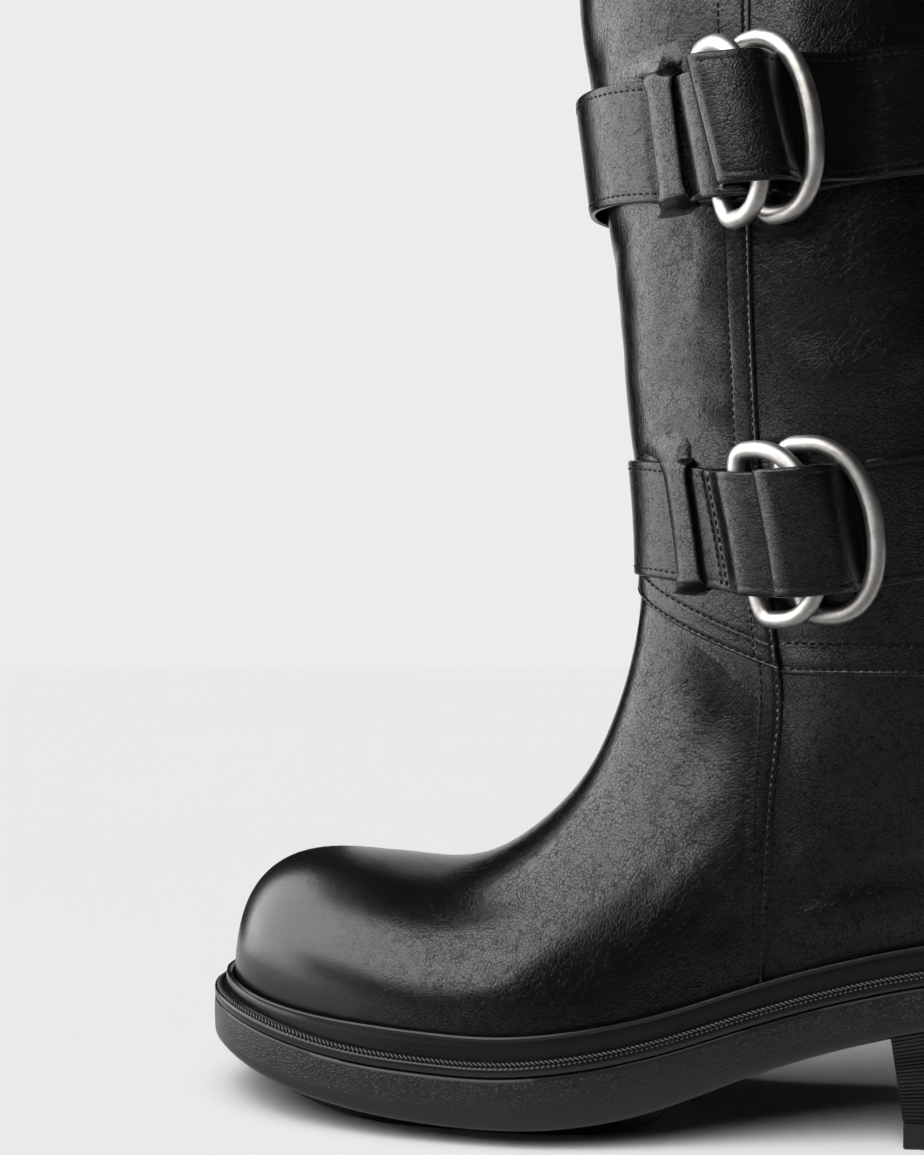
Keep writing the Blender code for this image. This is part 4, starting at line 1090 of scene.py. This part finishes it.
def build_straps():
    stitches, bars = [], []
    for row in STRAPS:
        name, height, sag, _, loop_at, ring_at, af, ao, bb, bf, bo, fold, loop_off = row
        round_way = float(shaft.long(height))
        half = STRAP_HIGH / 2

        def middle(way):
            way = np.mod(np.asarray(way, float) + round_way / 2, round_way) - round_way / 2
            return height - sag * np.exp(-((way - SAG_AT) / SAG_RUN) ** 2)

        def out(s, d, z):
            p, n = shaft.flat((s + ring_at) / round_way, z)
            return p + n * np.asarray(d, float)[..., None], n

        path, count_a, count_c = strap_path(row, round_way)
        t = np.gradient(path, axis=0)
        t /= np.linalg.norm(t, axis=1)[:, None]
        across = np.stack([-t[:, 1], t[:, 0]], 1)
        top = [(y, e) for y, e in HALF_SECTION[::-1]] + [(-y, e) for y, e in HALF_SECTION[1:]]
        loop = np.array(top + [(y, -e) for y, e in top[::-1]])
        way = np.concatenate([[0], np.cumsum(np.linalg.norm(np.diff(path, axis=0), axis=1))])
        left = way[-1] - way
        narrow = np.clip(1 - np.clip(1 - left / 9.0, 0, 1) ** 2.6, 0.02, 1) ** (1 / 2.6)
        mid = middle(path[:, 0])
        y = loop[None, :, 0] * narrow[:, None]
        line = path[:, None] + across[:, None] * loop[None, :, 1:2] * STRAP_THICK / 2
        index = np.arange(len(path))
        first_c = len(path) - count_c
        local = path[:, 0] + np.where(index >= first_c, round_way, 0.0)
        lean = np.where(index < count_a, LEAN * ease(-18.0, -9.0, local), 0.0)
        lean = np.where(index >= first_c, (LEAN + 0.04 * ease(25.0, 45.0, index - first_c)) * (1 - ease(bf, bf + 20.0, local) * (index - first_c > 30)) * ease(0.0, 8.0, index - first_c), lean)
        line[..., 0] -= lean[:, None] * y
        p, _ = out(line[..., 0], line[..., 1], mid[:, None] + y)
        pts, faces = swept(p, False)
        make("strap_%s_leather" % name, pts, outward(pts, faces), STRAP, ("strap_" + name,), sharp=50)
        # stitch rows along both edges, on the face that shows
        start_c = len(path) - count_c
        for sign in (1, -1):
            for a, b, face in ((count_a - 6, start_c + 10, -1), (start_c + int(0.50 * count_c), len(path) - 8, 1)):
                part = path[a:b]
                out2 = across[a:b] * face
                zz = mid[a:b] + sign * STRAP_ROW
                tilt = lean[a:b] * sign * STRAP_ROW
                q, n = out((part + out2 * 0.76)[:, 0] - tilt, (part + out2 * 0.76)[:, 1], zz)
                q2, _ = out((part + out2 * 1.8)[:, 0] - tilt, (part + out2 * 1.8)[:, 1], zz)
                dirs = q2 - q
                stitches.append(run_line(q, dirs / np.linalg.norm(dirs, axis=1)[:, None], STITCH))
        # two rows across the sewn end
        for at in (-10.9, -8.9):
            k = int(np.argmin(np.abs(path[:count_a, 0] - at) + 10 * (np.arange(count_a) < count_a // 2)))
            yy = np.linspace(-17.0, 17.0, 40)
            base = path[k] + across[k] * -0.95
            q, n = out(base[0] - lean[k] * yy, np.full(40, base[1]), mid[k] + yy)
            far = path[k] + across[k] * -2.0
            q2, _ = out(far[0] - lean[k] * yy, np.full(40, far[1]), mid[k] + yy)
            dirs = q2 - q
            stitches.append(run_line(q, dirs / np.linalg.norm(dirs, axis=1)[:, None], STITCH))
        # rings
        for which, s0, d0, s1, d1 in (("front", 0.0, BAR_OFF, af, ao), ("rear", bb, BAR_OFF, bf, bo)):
            wide = math.hypot(s1 - s0, d1 - d0)
            a = np.linspace(0, 2 * np.pi, 128, endpoint=False)
            centre = 8.5
            power = np.where(np.cos(a) < 0, 4.2, 2.25)
            far = np.where(np.cos(a) < 0, centre, wide - centre)
            along = centre + np.sign(np.cos(a)) * far * np.abs(np.cos(a)) ** (2 / power)
            up = np.sign(np.sin(a)) * RING_HIGH / 2 * np.abs(np.sin(a)) ** (2 / power)
            s = s0 + (s1 - s0) * along / wide - LEAN * up
            d = d0 + (d1 - d0) * along / wide
            q, _ = out(s, d, float(middle((s0 + s1) / 2)) + up)
            # even spacing along the wire
            loop3 = np.concatenate([q, q[:1]])
            w = np.concatenate([[0], np.cumsum(np.linalg.norm(np.diff(loop3, axis=0), axis=1))])
            k = np.linspace(0, w[-1], 140, endpoint=False)
            q = np.stack([np.interp(k, w, loop3[:, c]) for c in range(3)], 1)
            face = shaft.flat(((s0 + s1) / 2 + ring_at) / round_way, height)[1]
            tan = np.roll(q, -1, 0) - np.roll(q, 1, 0)
            tan /= np.linalg.norm(tan, axis=1)[:, None]
            e1 = np.cross(tan, face)
            e1 /= np.linalg.norm(e1, axis=1)[:, None]
            e2 = np.cross(e1, tan)
            b = np.linspace(0, 2 * np.pi, 18, endpoint=False)
            tube = q[:, None] + WIRE_LOOK / 2 * (np.cos(b)[None, :, None] * e1[:, None] + np.sin(b)[None, :, None] * e2[:, None])
            pts, faces = swept(tube, True)
            make("ring_%s_%s_wire" % (which, name), pts, outward(pts, faces), METAL, ("ring_%s_%s" % (which, name),), sharp=0)
        # loops: strips of the shaft's own leather between two slits, over the strap
        for which, sgn in (("outer", 1), ("inner", -1)):
            high = (loop_off if which == "outer" else 3.9) + LOOP_THICK / 2
            tilt = 0.7 if which == "outer" else 0.2
            mid_z = float(middle(sgn * loop_at - ring_at))
            y = np.linspace(-half - 17.0, half + 17.0, 161)[:, None]
            a = np.linspace(-1, 1, 45)[None, :]
            past = np.abs(y) - half - 1.2
            # the sheet runs out wide toward the front and stays clear of the side seam
            wide = LOOP_WIDE / 2 + 1.0 * ease(-6.0, 0.0, past) + np.where(a < 0, 21.0, 5.0) * ease(-0.8, 8.0, past)
            far = a * wide
            up = 1 - ease(-4.5, np.where(y > 0, 11.0, 3.2), past)
            cut = 1 - ease(-2.6, 1.2, past)
            spread = 7.0 + 5.0 * ease(0.0, 12.0, past)
            strip = high - 0.25 * a ** 2 + tilt * np.maximum(a, 0) - min(high - 3.5, 1.5) * np.clip(-a, 0, 1) ** 1.5 - 0.4 * np.clip((np.abs(a) - 0.84) / 0.16, 0, 1) ** 2
            tent = 0.30 + (high - 0.30) * up * np.exp(-(far / np.where(far < 0, spread + 3.5, 4.4)) ** 2)
            # the sheet's own edges sink into the shaft, so no step shows
            if which == "outer":
                sunk = 0.6 * ease(0.6, 1.0, a) + 0.0 * past
            else:
                sunk = 0.8 * np.minimum(ease(0.72, 1.0, np.abs(a)) + ease(8.0, 15.0, past), 1.0)
            d = strip * cut + (tent - sunk) * (1 - cut)
            z = mid_z + y + 0 * a
            q, n = shaft.flat(sgn * (loop_at + far) / round_way + 0 * y, z)
            pts, faces, v = shell([(q + d[..., None] * n, n, {})], LOOP_THICK)
            make("loop_%s_%s_leather" % (which, name), pts, faces, LEATHER, ("loop_%s_%s" % (which, name),), sharp=50)
    p, f = threads(stitches, 0.66 * STITCH, 0.80, 0.50, 0.12)
    make("strap_stitches", p, f, THREAD, sharp=0)


# ------------------------------------------------------------------ sole
def pad_z(u):
    deep = np.interp(u, (4.0, 16.0, 143.0, 148.5), (0.0, PAD_DEEP, PAD_DEEP, 0.0))
    return np.where(deep > 0, np.maximum(under_z(u) - deep, 0.0), under_z(u))


def cap_strips(start, n):
    h = n // 2
    faces = [(start, start + 1, start + n - 1)]
    faces += [(start + k, start + k + 1, start + n - k - 1, start + n - k) for k in range(1, h - 1)]
    return faces + [(start + h - 1, start + h, start + h + 1)]


def build_outsole():
    n = 480

    def tread(u):
        bars = ease(0.55, 0.8, np.abs(np.mod(u / 7.5, 1.0) - 0.5) * 2)
        return 1.8 * bars * ease(18.0, 24.0, u) * (1 - ease(134.0, 140.0, u))

    def wall(share):
        return lambda u: under_z(u) + share * (top_z(u) - WELT_THICK - GAP - under_z(u))

    table = (
        # out, height over the station
        (-PAD_IN - 6.5, lambda u: pad_z(u) + tread(u)),
        (-PAD_IN - 5.5, lambda u: pad_z(u) + 0.85 * tread(u)),
        (-PAD_IN - 4.5, pad_z),
        (-PAD_IN - 0.9, pad_z),
        (-PAD_IN - 0.1, lambda u: np.minimum(pad_z(u) + 0.7, under_z(u))),
        (-PAD_IN + 0.9, lambda u: np.maximum(pad_z(u), under_z(u) - 1.2)),
        (-PAD_IN + 2.2, under_z),
        (WELT_OUT - 3.0, under_z),
        (WELT_OUT - 1.7, lambda u: under_z(u) + 0.12),
        (WELT_OUT - 0.8, lambda u: under_z(u) + 0.55),
        (WELT_OUT - 0.2, lambda u: under_z(u) + 1.3),
        (WELT_OUT, lambda u: under_z(u) + 2.4),
        (WELT_OUT, wall(0.32)),
        (WELT_OUT + 0.1, wall(0.5)),
        (WELT_OUT + 0.1, wall(0.72)),
        (WELT_OUT, wall(0.9)),
        (WELT_OUT - 0.1, lambda u: top_z(u) - WELT_THICK - GAP - 0.55),
        (WELT_OUT - 0.5, lambda u: top_z(u) - WELT_THICK - GAP - 0.12),
        (WELT_OUT - 1.2, lambda u: top_z(u) - WELT_THICK - GAP),
        (-WELT_IN - GAP, lambda u: top_z(u) - WELT_THICK - GAP),
        (-WELT_IN - GAP - 0.3, top_z),
    )
    rings, down = [], []
    for out, z in table:
        p = outline(n, out)
        zz = z(p[:, 0])
        rings.append(np.column_stack([p, zz]))
        down.append(top_z(p[:, 0]) - zz if out > WELT_OUT - 2 else np.full(n, 60.0))
    m = len(rings)
    faces = cap_strips(0, n) + cap_strips((m - 1) * n, n) + [tuple(f) for f in grid_faces(m, n, 0, False, True)]
    pts = np.concatenate(rings)
    faces = consistent(pts, faces)
    make("outsole_rubber", pts, faces, WALL_RUBBER, ("outsole",), {"down": np.concatenate(down)})


def consistent(points, faces):
    """Faces of a closed solid with one turning sense, outward."""
    import bmesh
    mesh = bpy.data.meshes.new("turning")
    mesh.from_pydata(points.tolist(), [], [list(map(int, f)) for f in faces])
    bm = bmesh.new()
    bm.from_mesh(mesh)
    bmesh.ops.recalc_face_normals(bm, faces=bm.faces)
    found = [tuple(v.index for v in f.verts) for f in bm.faces]
    bm.free()
    bpy.data.meshes.remove(mesh)
    return outward(points, found)


def build_welt():
    n = 2400
    p, nrm, long = even_outline(n)
    u0 = p[:, 0]
    way = np.arange(n) / n
    ribs = int(long / 1.5)
    rib = 0.5 + 0.5 * np.cos(2 * np.pi * ribs * way)
    section = (
        # out, over the wall's top edge, rib depth
        (-WELT_IN, -WELT_THICK, 0.0),
        (WELT_OUT - 0.9, -WELT_THICK, 0.0),
        (WELT_OUT - 0.2, -WELT_THICK + 0.25, 0.0),
        (WELT_OUT + 0.05, -WELT_THICK + 0.8, 0.0),
        (WELT_OUT + 0.05, -0.75, 0.0),
        (WELT_OUT - 0.05, -0.25, 0.08),
        (WELT_OUT - 0.4, 0.15, 0.14),
        (WELT_OUT - 0.8, 0.22, 0.10),
        (WELT_OUT - 1.6, 0.10, 0.0),
        (WELT_OUT - 2.5, 0.35, 0.0),
        (WELT_OUT - 3.2, 0.70, 0.0),
        (WELT_OUT - 3.7, 0.95, 0.0),
        (WELT_OUT - 3.85, 2.0, 0.0),
        (WELT_OUT - 3.75, 3.6, 0.0),
        (WELT_OUT - 3.8, 5.4, 0.0),
        (WELT_OUT - 4.0, 6.5, 0.0),
        (WELT_OUT - 4.05, 6.9, 0.0),
        (WELT_OUT - 3.95, 7.15, 0.0),
        (WELT_OUT - 3.95, 7.6, 0.0),
        (WELT_OUT - 4.3, 8.05, 0.0),
        (WELT_OUT - 5.1, 8.1, 0.0),
        (WELT_OUT - 5.8, 7.7, 0.0),
        (WELT_OUT - 6.1, 6.8, 0.0),
        (WELT_OUT - 5.8, 0.2, 0.0),
        (-WELT_IN, 0.0, 0.0),
    )
    loops = []
    for out, dz, deep in section:
        shift = 0.35 * (WELT_OUT - out) / long * n            # ribs lean a little
        r = np.interp(np.mod(np.arange(n) + shift, n), np.arange(n + 1), np.append(rib, rib[0]))
        q = p + nrm * (out - 0.35 * deep * r)[:, None]
        lip = 1 - 0.32 * (1 - ease(6.0, 60.0, u0)) if dz > 1.0 else 1.0
        loops.append(np.column_stack([q, top_z(u0 + nrm[:, 0] * out) + dz * lip - deep * r]))
    pts, faces = swept(np.stack(loops, 1), True)
    make("welt_strip", pts, outward(pts, faces), WELT, ("welt",))
    # laid cord of the welt stitch
    m = 900
    p, nrm, long = even_outline(m)
    out = WELT_OUT - 1.55
    q = p + nrm * out
    z = top_z(q[:, 0]) + 0.55
    line = np.column_stack([q, z])
    up = np.column_stack([nrm * 0.55, np.full(m, 0.83)])
    line, up = np.concatenate([line, line[:1]]), np.concatenate([up, up[:1]])
    runs = [run_line(line, up, 1.45)]
    pts, faces = threads(runs, 2.3, 0.92, 1.0, 0.0, 38.0)
    make("welt_cord", pts, faces, ROPE, sharp=0)


def heel_curve(out, breast, n=40):
    ends = []
    for side in (1, -1):
        p = side_line(out, side)
        end = p[-1, 0]
        start = breast if side > 0 else breast + BREAST_SKEW
        u = start + (end - start) * np.sin(np.linspace(0, np.pi / 2, n))
        ends.append(np.column_stack([u, np.interp(u, p[:, 0], p[:, 1])]))
    return np.concatenate([ends[0], ends[1][::-1][1:]])


def breast_at(z):
    return BREAST_FOOT + (BREAST_TOP - BREAST_FOOT) * z / float(under_z(BREAST_TOP))


def block(name, curves, material, stands_for):
    n = len(curves[0])
    h = n // 2
    faces = []
    for s in (0, (len(curves) - 1) * n):
        faces += [(s + k, s + k + 1, s + n - 2 - k, s + n - 1 - k) for k in range(h - 1)]
        faces.append((s + h - 1, s + h, s + h + 1))
    faces += [tuple(f) for f in grid_faces(len(curves), n, 0, False, True)]
    pts = np.concatenate(curves)
    make(name, pts, consistent(pts, faces), material, (stands_for,))


def build_heel():
    rows = 168
    curves = []
    for k in range(rows + 1):
        share = k / rows
        out = (WELT_OUT - 0.6) + (-2.4) * share
        z_side = share * 26.0
        ridge = 0.5 * (0.5 + 0.5 * math.cos(2 * math.pi * z_side / 1.1)) ** 2 if 0.03 < share < 0.99 else 0.0
        edge = 0.5 if k == rows else 0.0
        c = heel_curve(out - ridge - edge, BREAST_TOP + (breast_at(TIP_THICK) - BREAST_TOP) * share + edge)
        high = under_z(c[:, 0]) + 0.3
        low = TIP_THICK + 0.1
        curves.append(np.column_stack([c, high + (low - high) * share]))
    block("heel_rubber", curves, RUBBER, "heel")
    curves = []
    for out, z, edge in ((-3.2, TIP_THICK, 0.5), (-2.7, TIP_THICK - 0.4, 0.0), (-2.6, 0.7, 0.0), (-3.2, 0.0, 0.5)):
        c = heel_curve(WELT_OUT + out, breast_at(TIP_THICK) + edge)
        curves.append(np.column_stack([c, np.full(len(c), z)]))
    block("heel_tip_rubber", curves, RUBBER, "heel_tip")


# ------------------------------------------------------------------ stage
def look(ob, at):
    ob.rotation_euler = (Vector(at) - ob.location).to_track_quat("-Z", "Y").to_euler()


def panel(name, where, at, wide, high, radiance):
    """A softbox that lights by reflection only, so the floor stays even."""
    data = bpy.data.lights.new(name, "AREA")
    data.shape = "RECTANGLE"
    data.size, data.size_y = wide, high
    data.energy = math.pi * wide * high * radiance
    ob = bpy.data.objects.new(name, data)
    ob.location = where
    look(ob, at)
    ob.visible_camera = False
    ob.visible_diffuse = False
    bpy.context.scene.collection.objects.link(ob)
    return ob


def stage():
    scene = bpy.context.scene
    scene.view_settings.view_transform = "Standard"
    world = bpy.data.worlds.new("studio")
    world.use_nodes = True
    world.node_tree.nodes["Background"].inputs["Color"].default_value = (0.012, 0.012, 0.013, 1.0)
    scene.world = world
    # floor
    f = Finish("floor_paint", (0.80, 0.80, 0.80), 0.9, specular=0.0)
    soft = f.noise(3.0, 2.0)
    f.colours(soft, (0.0, (0.795, 0.795, 0.795)), (1.0, (0.805, 0.805, 0.805)))
    mesh = bpy.data.meshes.new("floor")
    mesh.from_pydata([(-6, -6, 0), (6, -6, 0), (6, 40, 0), (-6, 40, 0)], [], [(0, 1, 2, 3)])
    mesh.materials.append(f.done())
    floor = bpy.data.objects.new("floor", mesh)
    scene.collection.objects.link(floor)
    # backdrop, far behind
    mat = bpy.data.materials.new("backdrop_paint")
    mat.use_nodes = True
    bsdf = mat.node_tree.nodes["Principled BSDF"]
    bsdf.inputs["Base Color"].default_value = (0.0, 0.0, 0.0, 1.0)
    bsdf.inputs["Specular IOR Level"].default_value = 0.0
    bsdf.inputs["Emission Color"].default_value = (1.0, 1.0, 1.0, 1.0)
    bsdf.inputs["Emission Strength"].default_value = 0.839
    mesh = bpy.data.meshes.new("backdrop")
    mesh.from_pydata([(-6, 3, -1), (6, 3, -1), (6, 3, 5), (-6, 3, 5)], [], [(0, 1, 2, 3)])
    mesh.materials.append(mat)
    back = bpy.data.objects.new("backdrop", mesh)
    back.visible_diffuse = False
    back.visible_shadow = False
    scene.collection.objects.link(back)
    # the same paint on the other sides of the room, which the boot's gloss doesn't see
    mesh = bpy.data.meshes.new("room")
    mesh.from_pydata([(6, 4, -1), (6, -6, -1), (-6, -6, -1), (-6, 4, -1), (6, 4, 5), (6, -6, 5), (-6, -6, 5), (-6, 4, 5)], [], [(0, 1, 5, 4), (1, 2, 6, 5), (2, 3, 7, 6)])
    mesh.materials.append(mat)
    room = bpy.data.objects.new("room", mesh)
    room.visible_diffuse = room.visible_glossy = room.visible_shadow = False
    scene.collection.objects.link(room)
    # lights: a broad overhead for the floor, and two tall softboxes from the left round to the camera
    for name, energy, angle, where in (("key", 2.60, 48, (-0.45, -0.75, 1.0)), ("overhead", 1.26, 52, (-0.10, -0.25, 1.0))):
        sun = bpy.data.lights.new(name, "SUN")
        sun.energy = energy
        sun.angle = math.radians(angle)
        ob = bpy.data.objects.new(name, sun)
        ob.location = where
        look(ob, (0.0, 0.0, 0.0))
        ob.visible_glossy = False
        scene.collection.objects.link(ob)
    panel("softbox_left", (-4.0, 0.0, 3.55), (0.0, 0.0, 3.55), 5.0, 7.0, 4.8)
    panel("softbox_front", (-2.18, -3.35, 4.75), (0.0, 0.0, 4.75), 4.0, 7.2, 4.7)
    panel("bounce_left", (-2.19, 0.1, 0.004), (-2.19, 0.1, 1.0), 3.22, 2.8, 3.0)
    # dark cards that only the gloss sees: behind the toe, and on the floor before the heel
    mat = bpy.data.materials.new("card_black")
    mat.use_nodes = True
    bsdf = mat.node_tree.nodes["Principled BSDF"]
    bsdf.inputs["Base Color"].default_value = (0.004, 0.004, 0.004, 1.0)
    bsdf.inputs["Roughness"].default_value = 1.0
    bsdf.inputs["Specular IOR Level"].default_value = 0.0
    dim = mat.copy()
    dim.name = "card_grey"
    dim.node_tree.nodes["Principled BSDF"].inputs["Base Color"].default_value = (0.27, 0.27, 0.27, 1.0)
    for name, paint, corners in (
        ("card_behind", mat, [(-0.70, 0.34, 0.0), (-0.17, 0.34, 0.0), (-0.17, 0.34, 0.80), (-0.70, 0.34, 0.80)]),
        ("card_before", dim, [(-0.16, -0.11, 0.002), (-0.30, -2.6, 0.002), (2.5, -2.6, 0.002), (2.5, -0.11, 0.002)]),
    ):
        mesh = bpy.data.meshes.new(name)
        mesh.from_pydata(corners, [], [(0, 1, 2, 3)])
        mesh.materials.append(paint)
        card = bpy.data.objects.new(name, mesh)
        card.visible_camera = card.visible_diffuse = card.visible_shadow = False
        scene.collection.objects.link(card)
    # camera
    cam = bpy.data.cameras.new("camera")
    cam.sensor_fit = "HORIZONTAL"
    cam.sensor_width = 36.0
    cam.lens = 1700.0 / 924.0 * 36.0
    cam.shift_y = (590.0 - 577.5) / 924.0
    ob = bpy.data.objects.new("camera", cam)
    ob.location = (0.0292, -0.5448, 0.1668)
    turn = math.radians(9.0)
    ob.rotation_euler = Vector((-math.sin(turn), math.cos(turn), 0.0)).to_track_quat("-Z", "Y").to_euler()
    scene.collection.objects.link(ob)
    scene.camera = ob


build_upper()
build_straps()
build_outsole()
build_welt()
build_heel()
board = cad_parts["insole"]
board.data.materials.clear()
board.data.materials.append(BOARD)
stage()
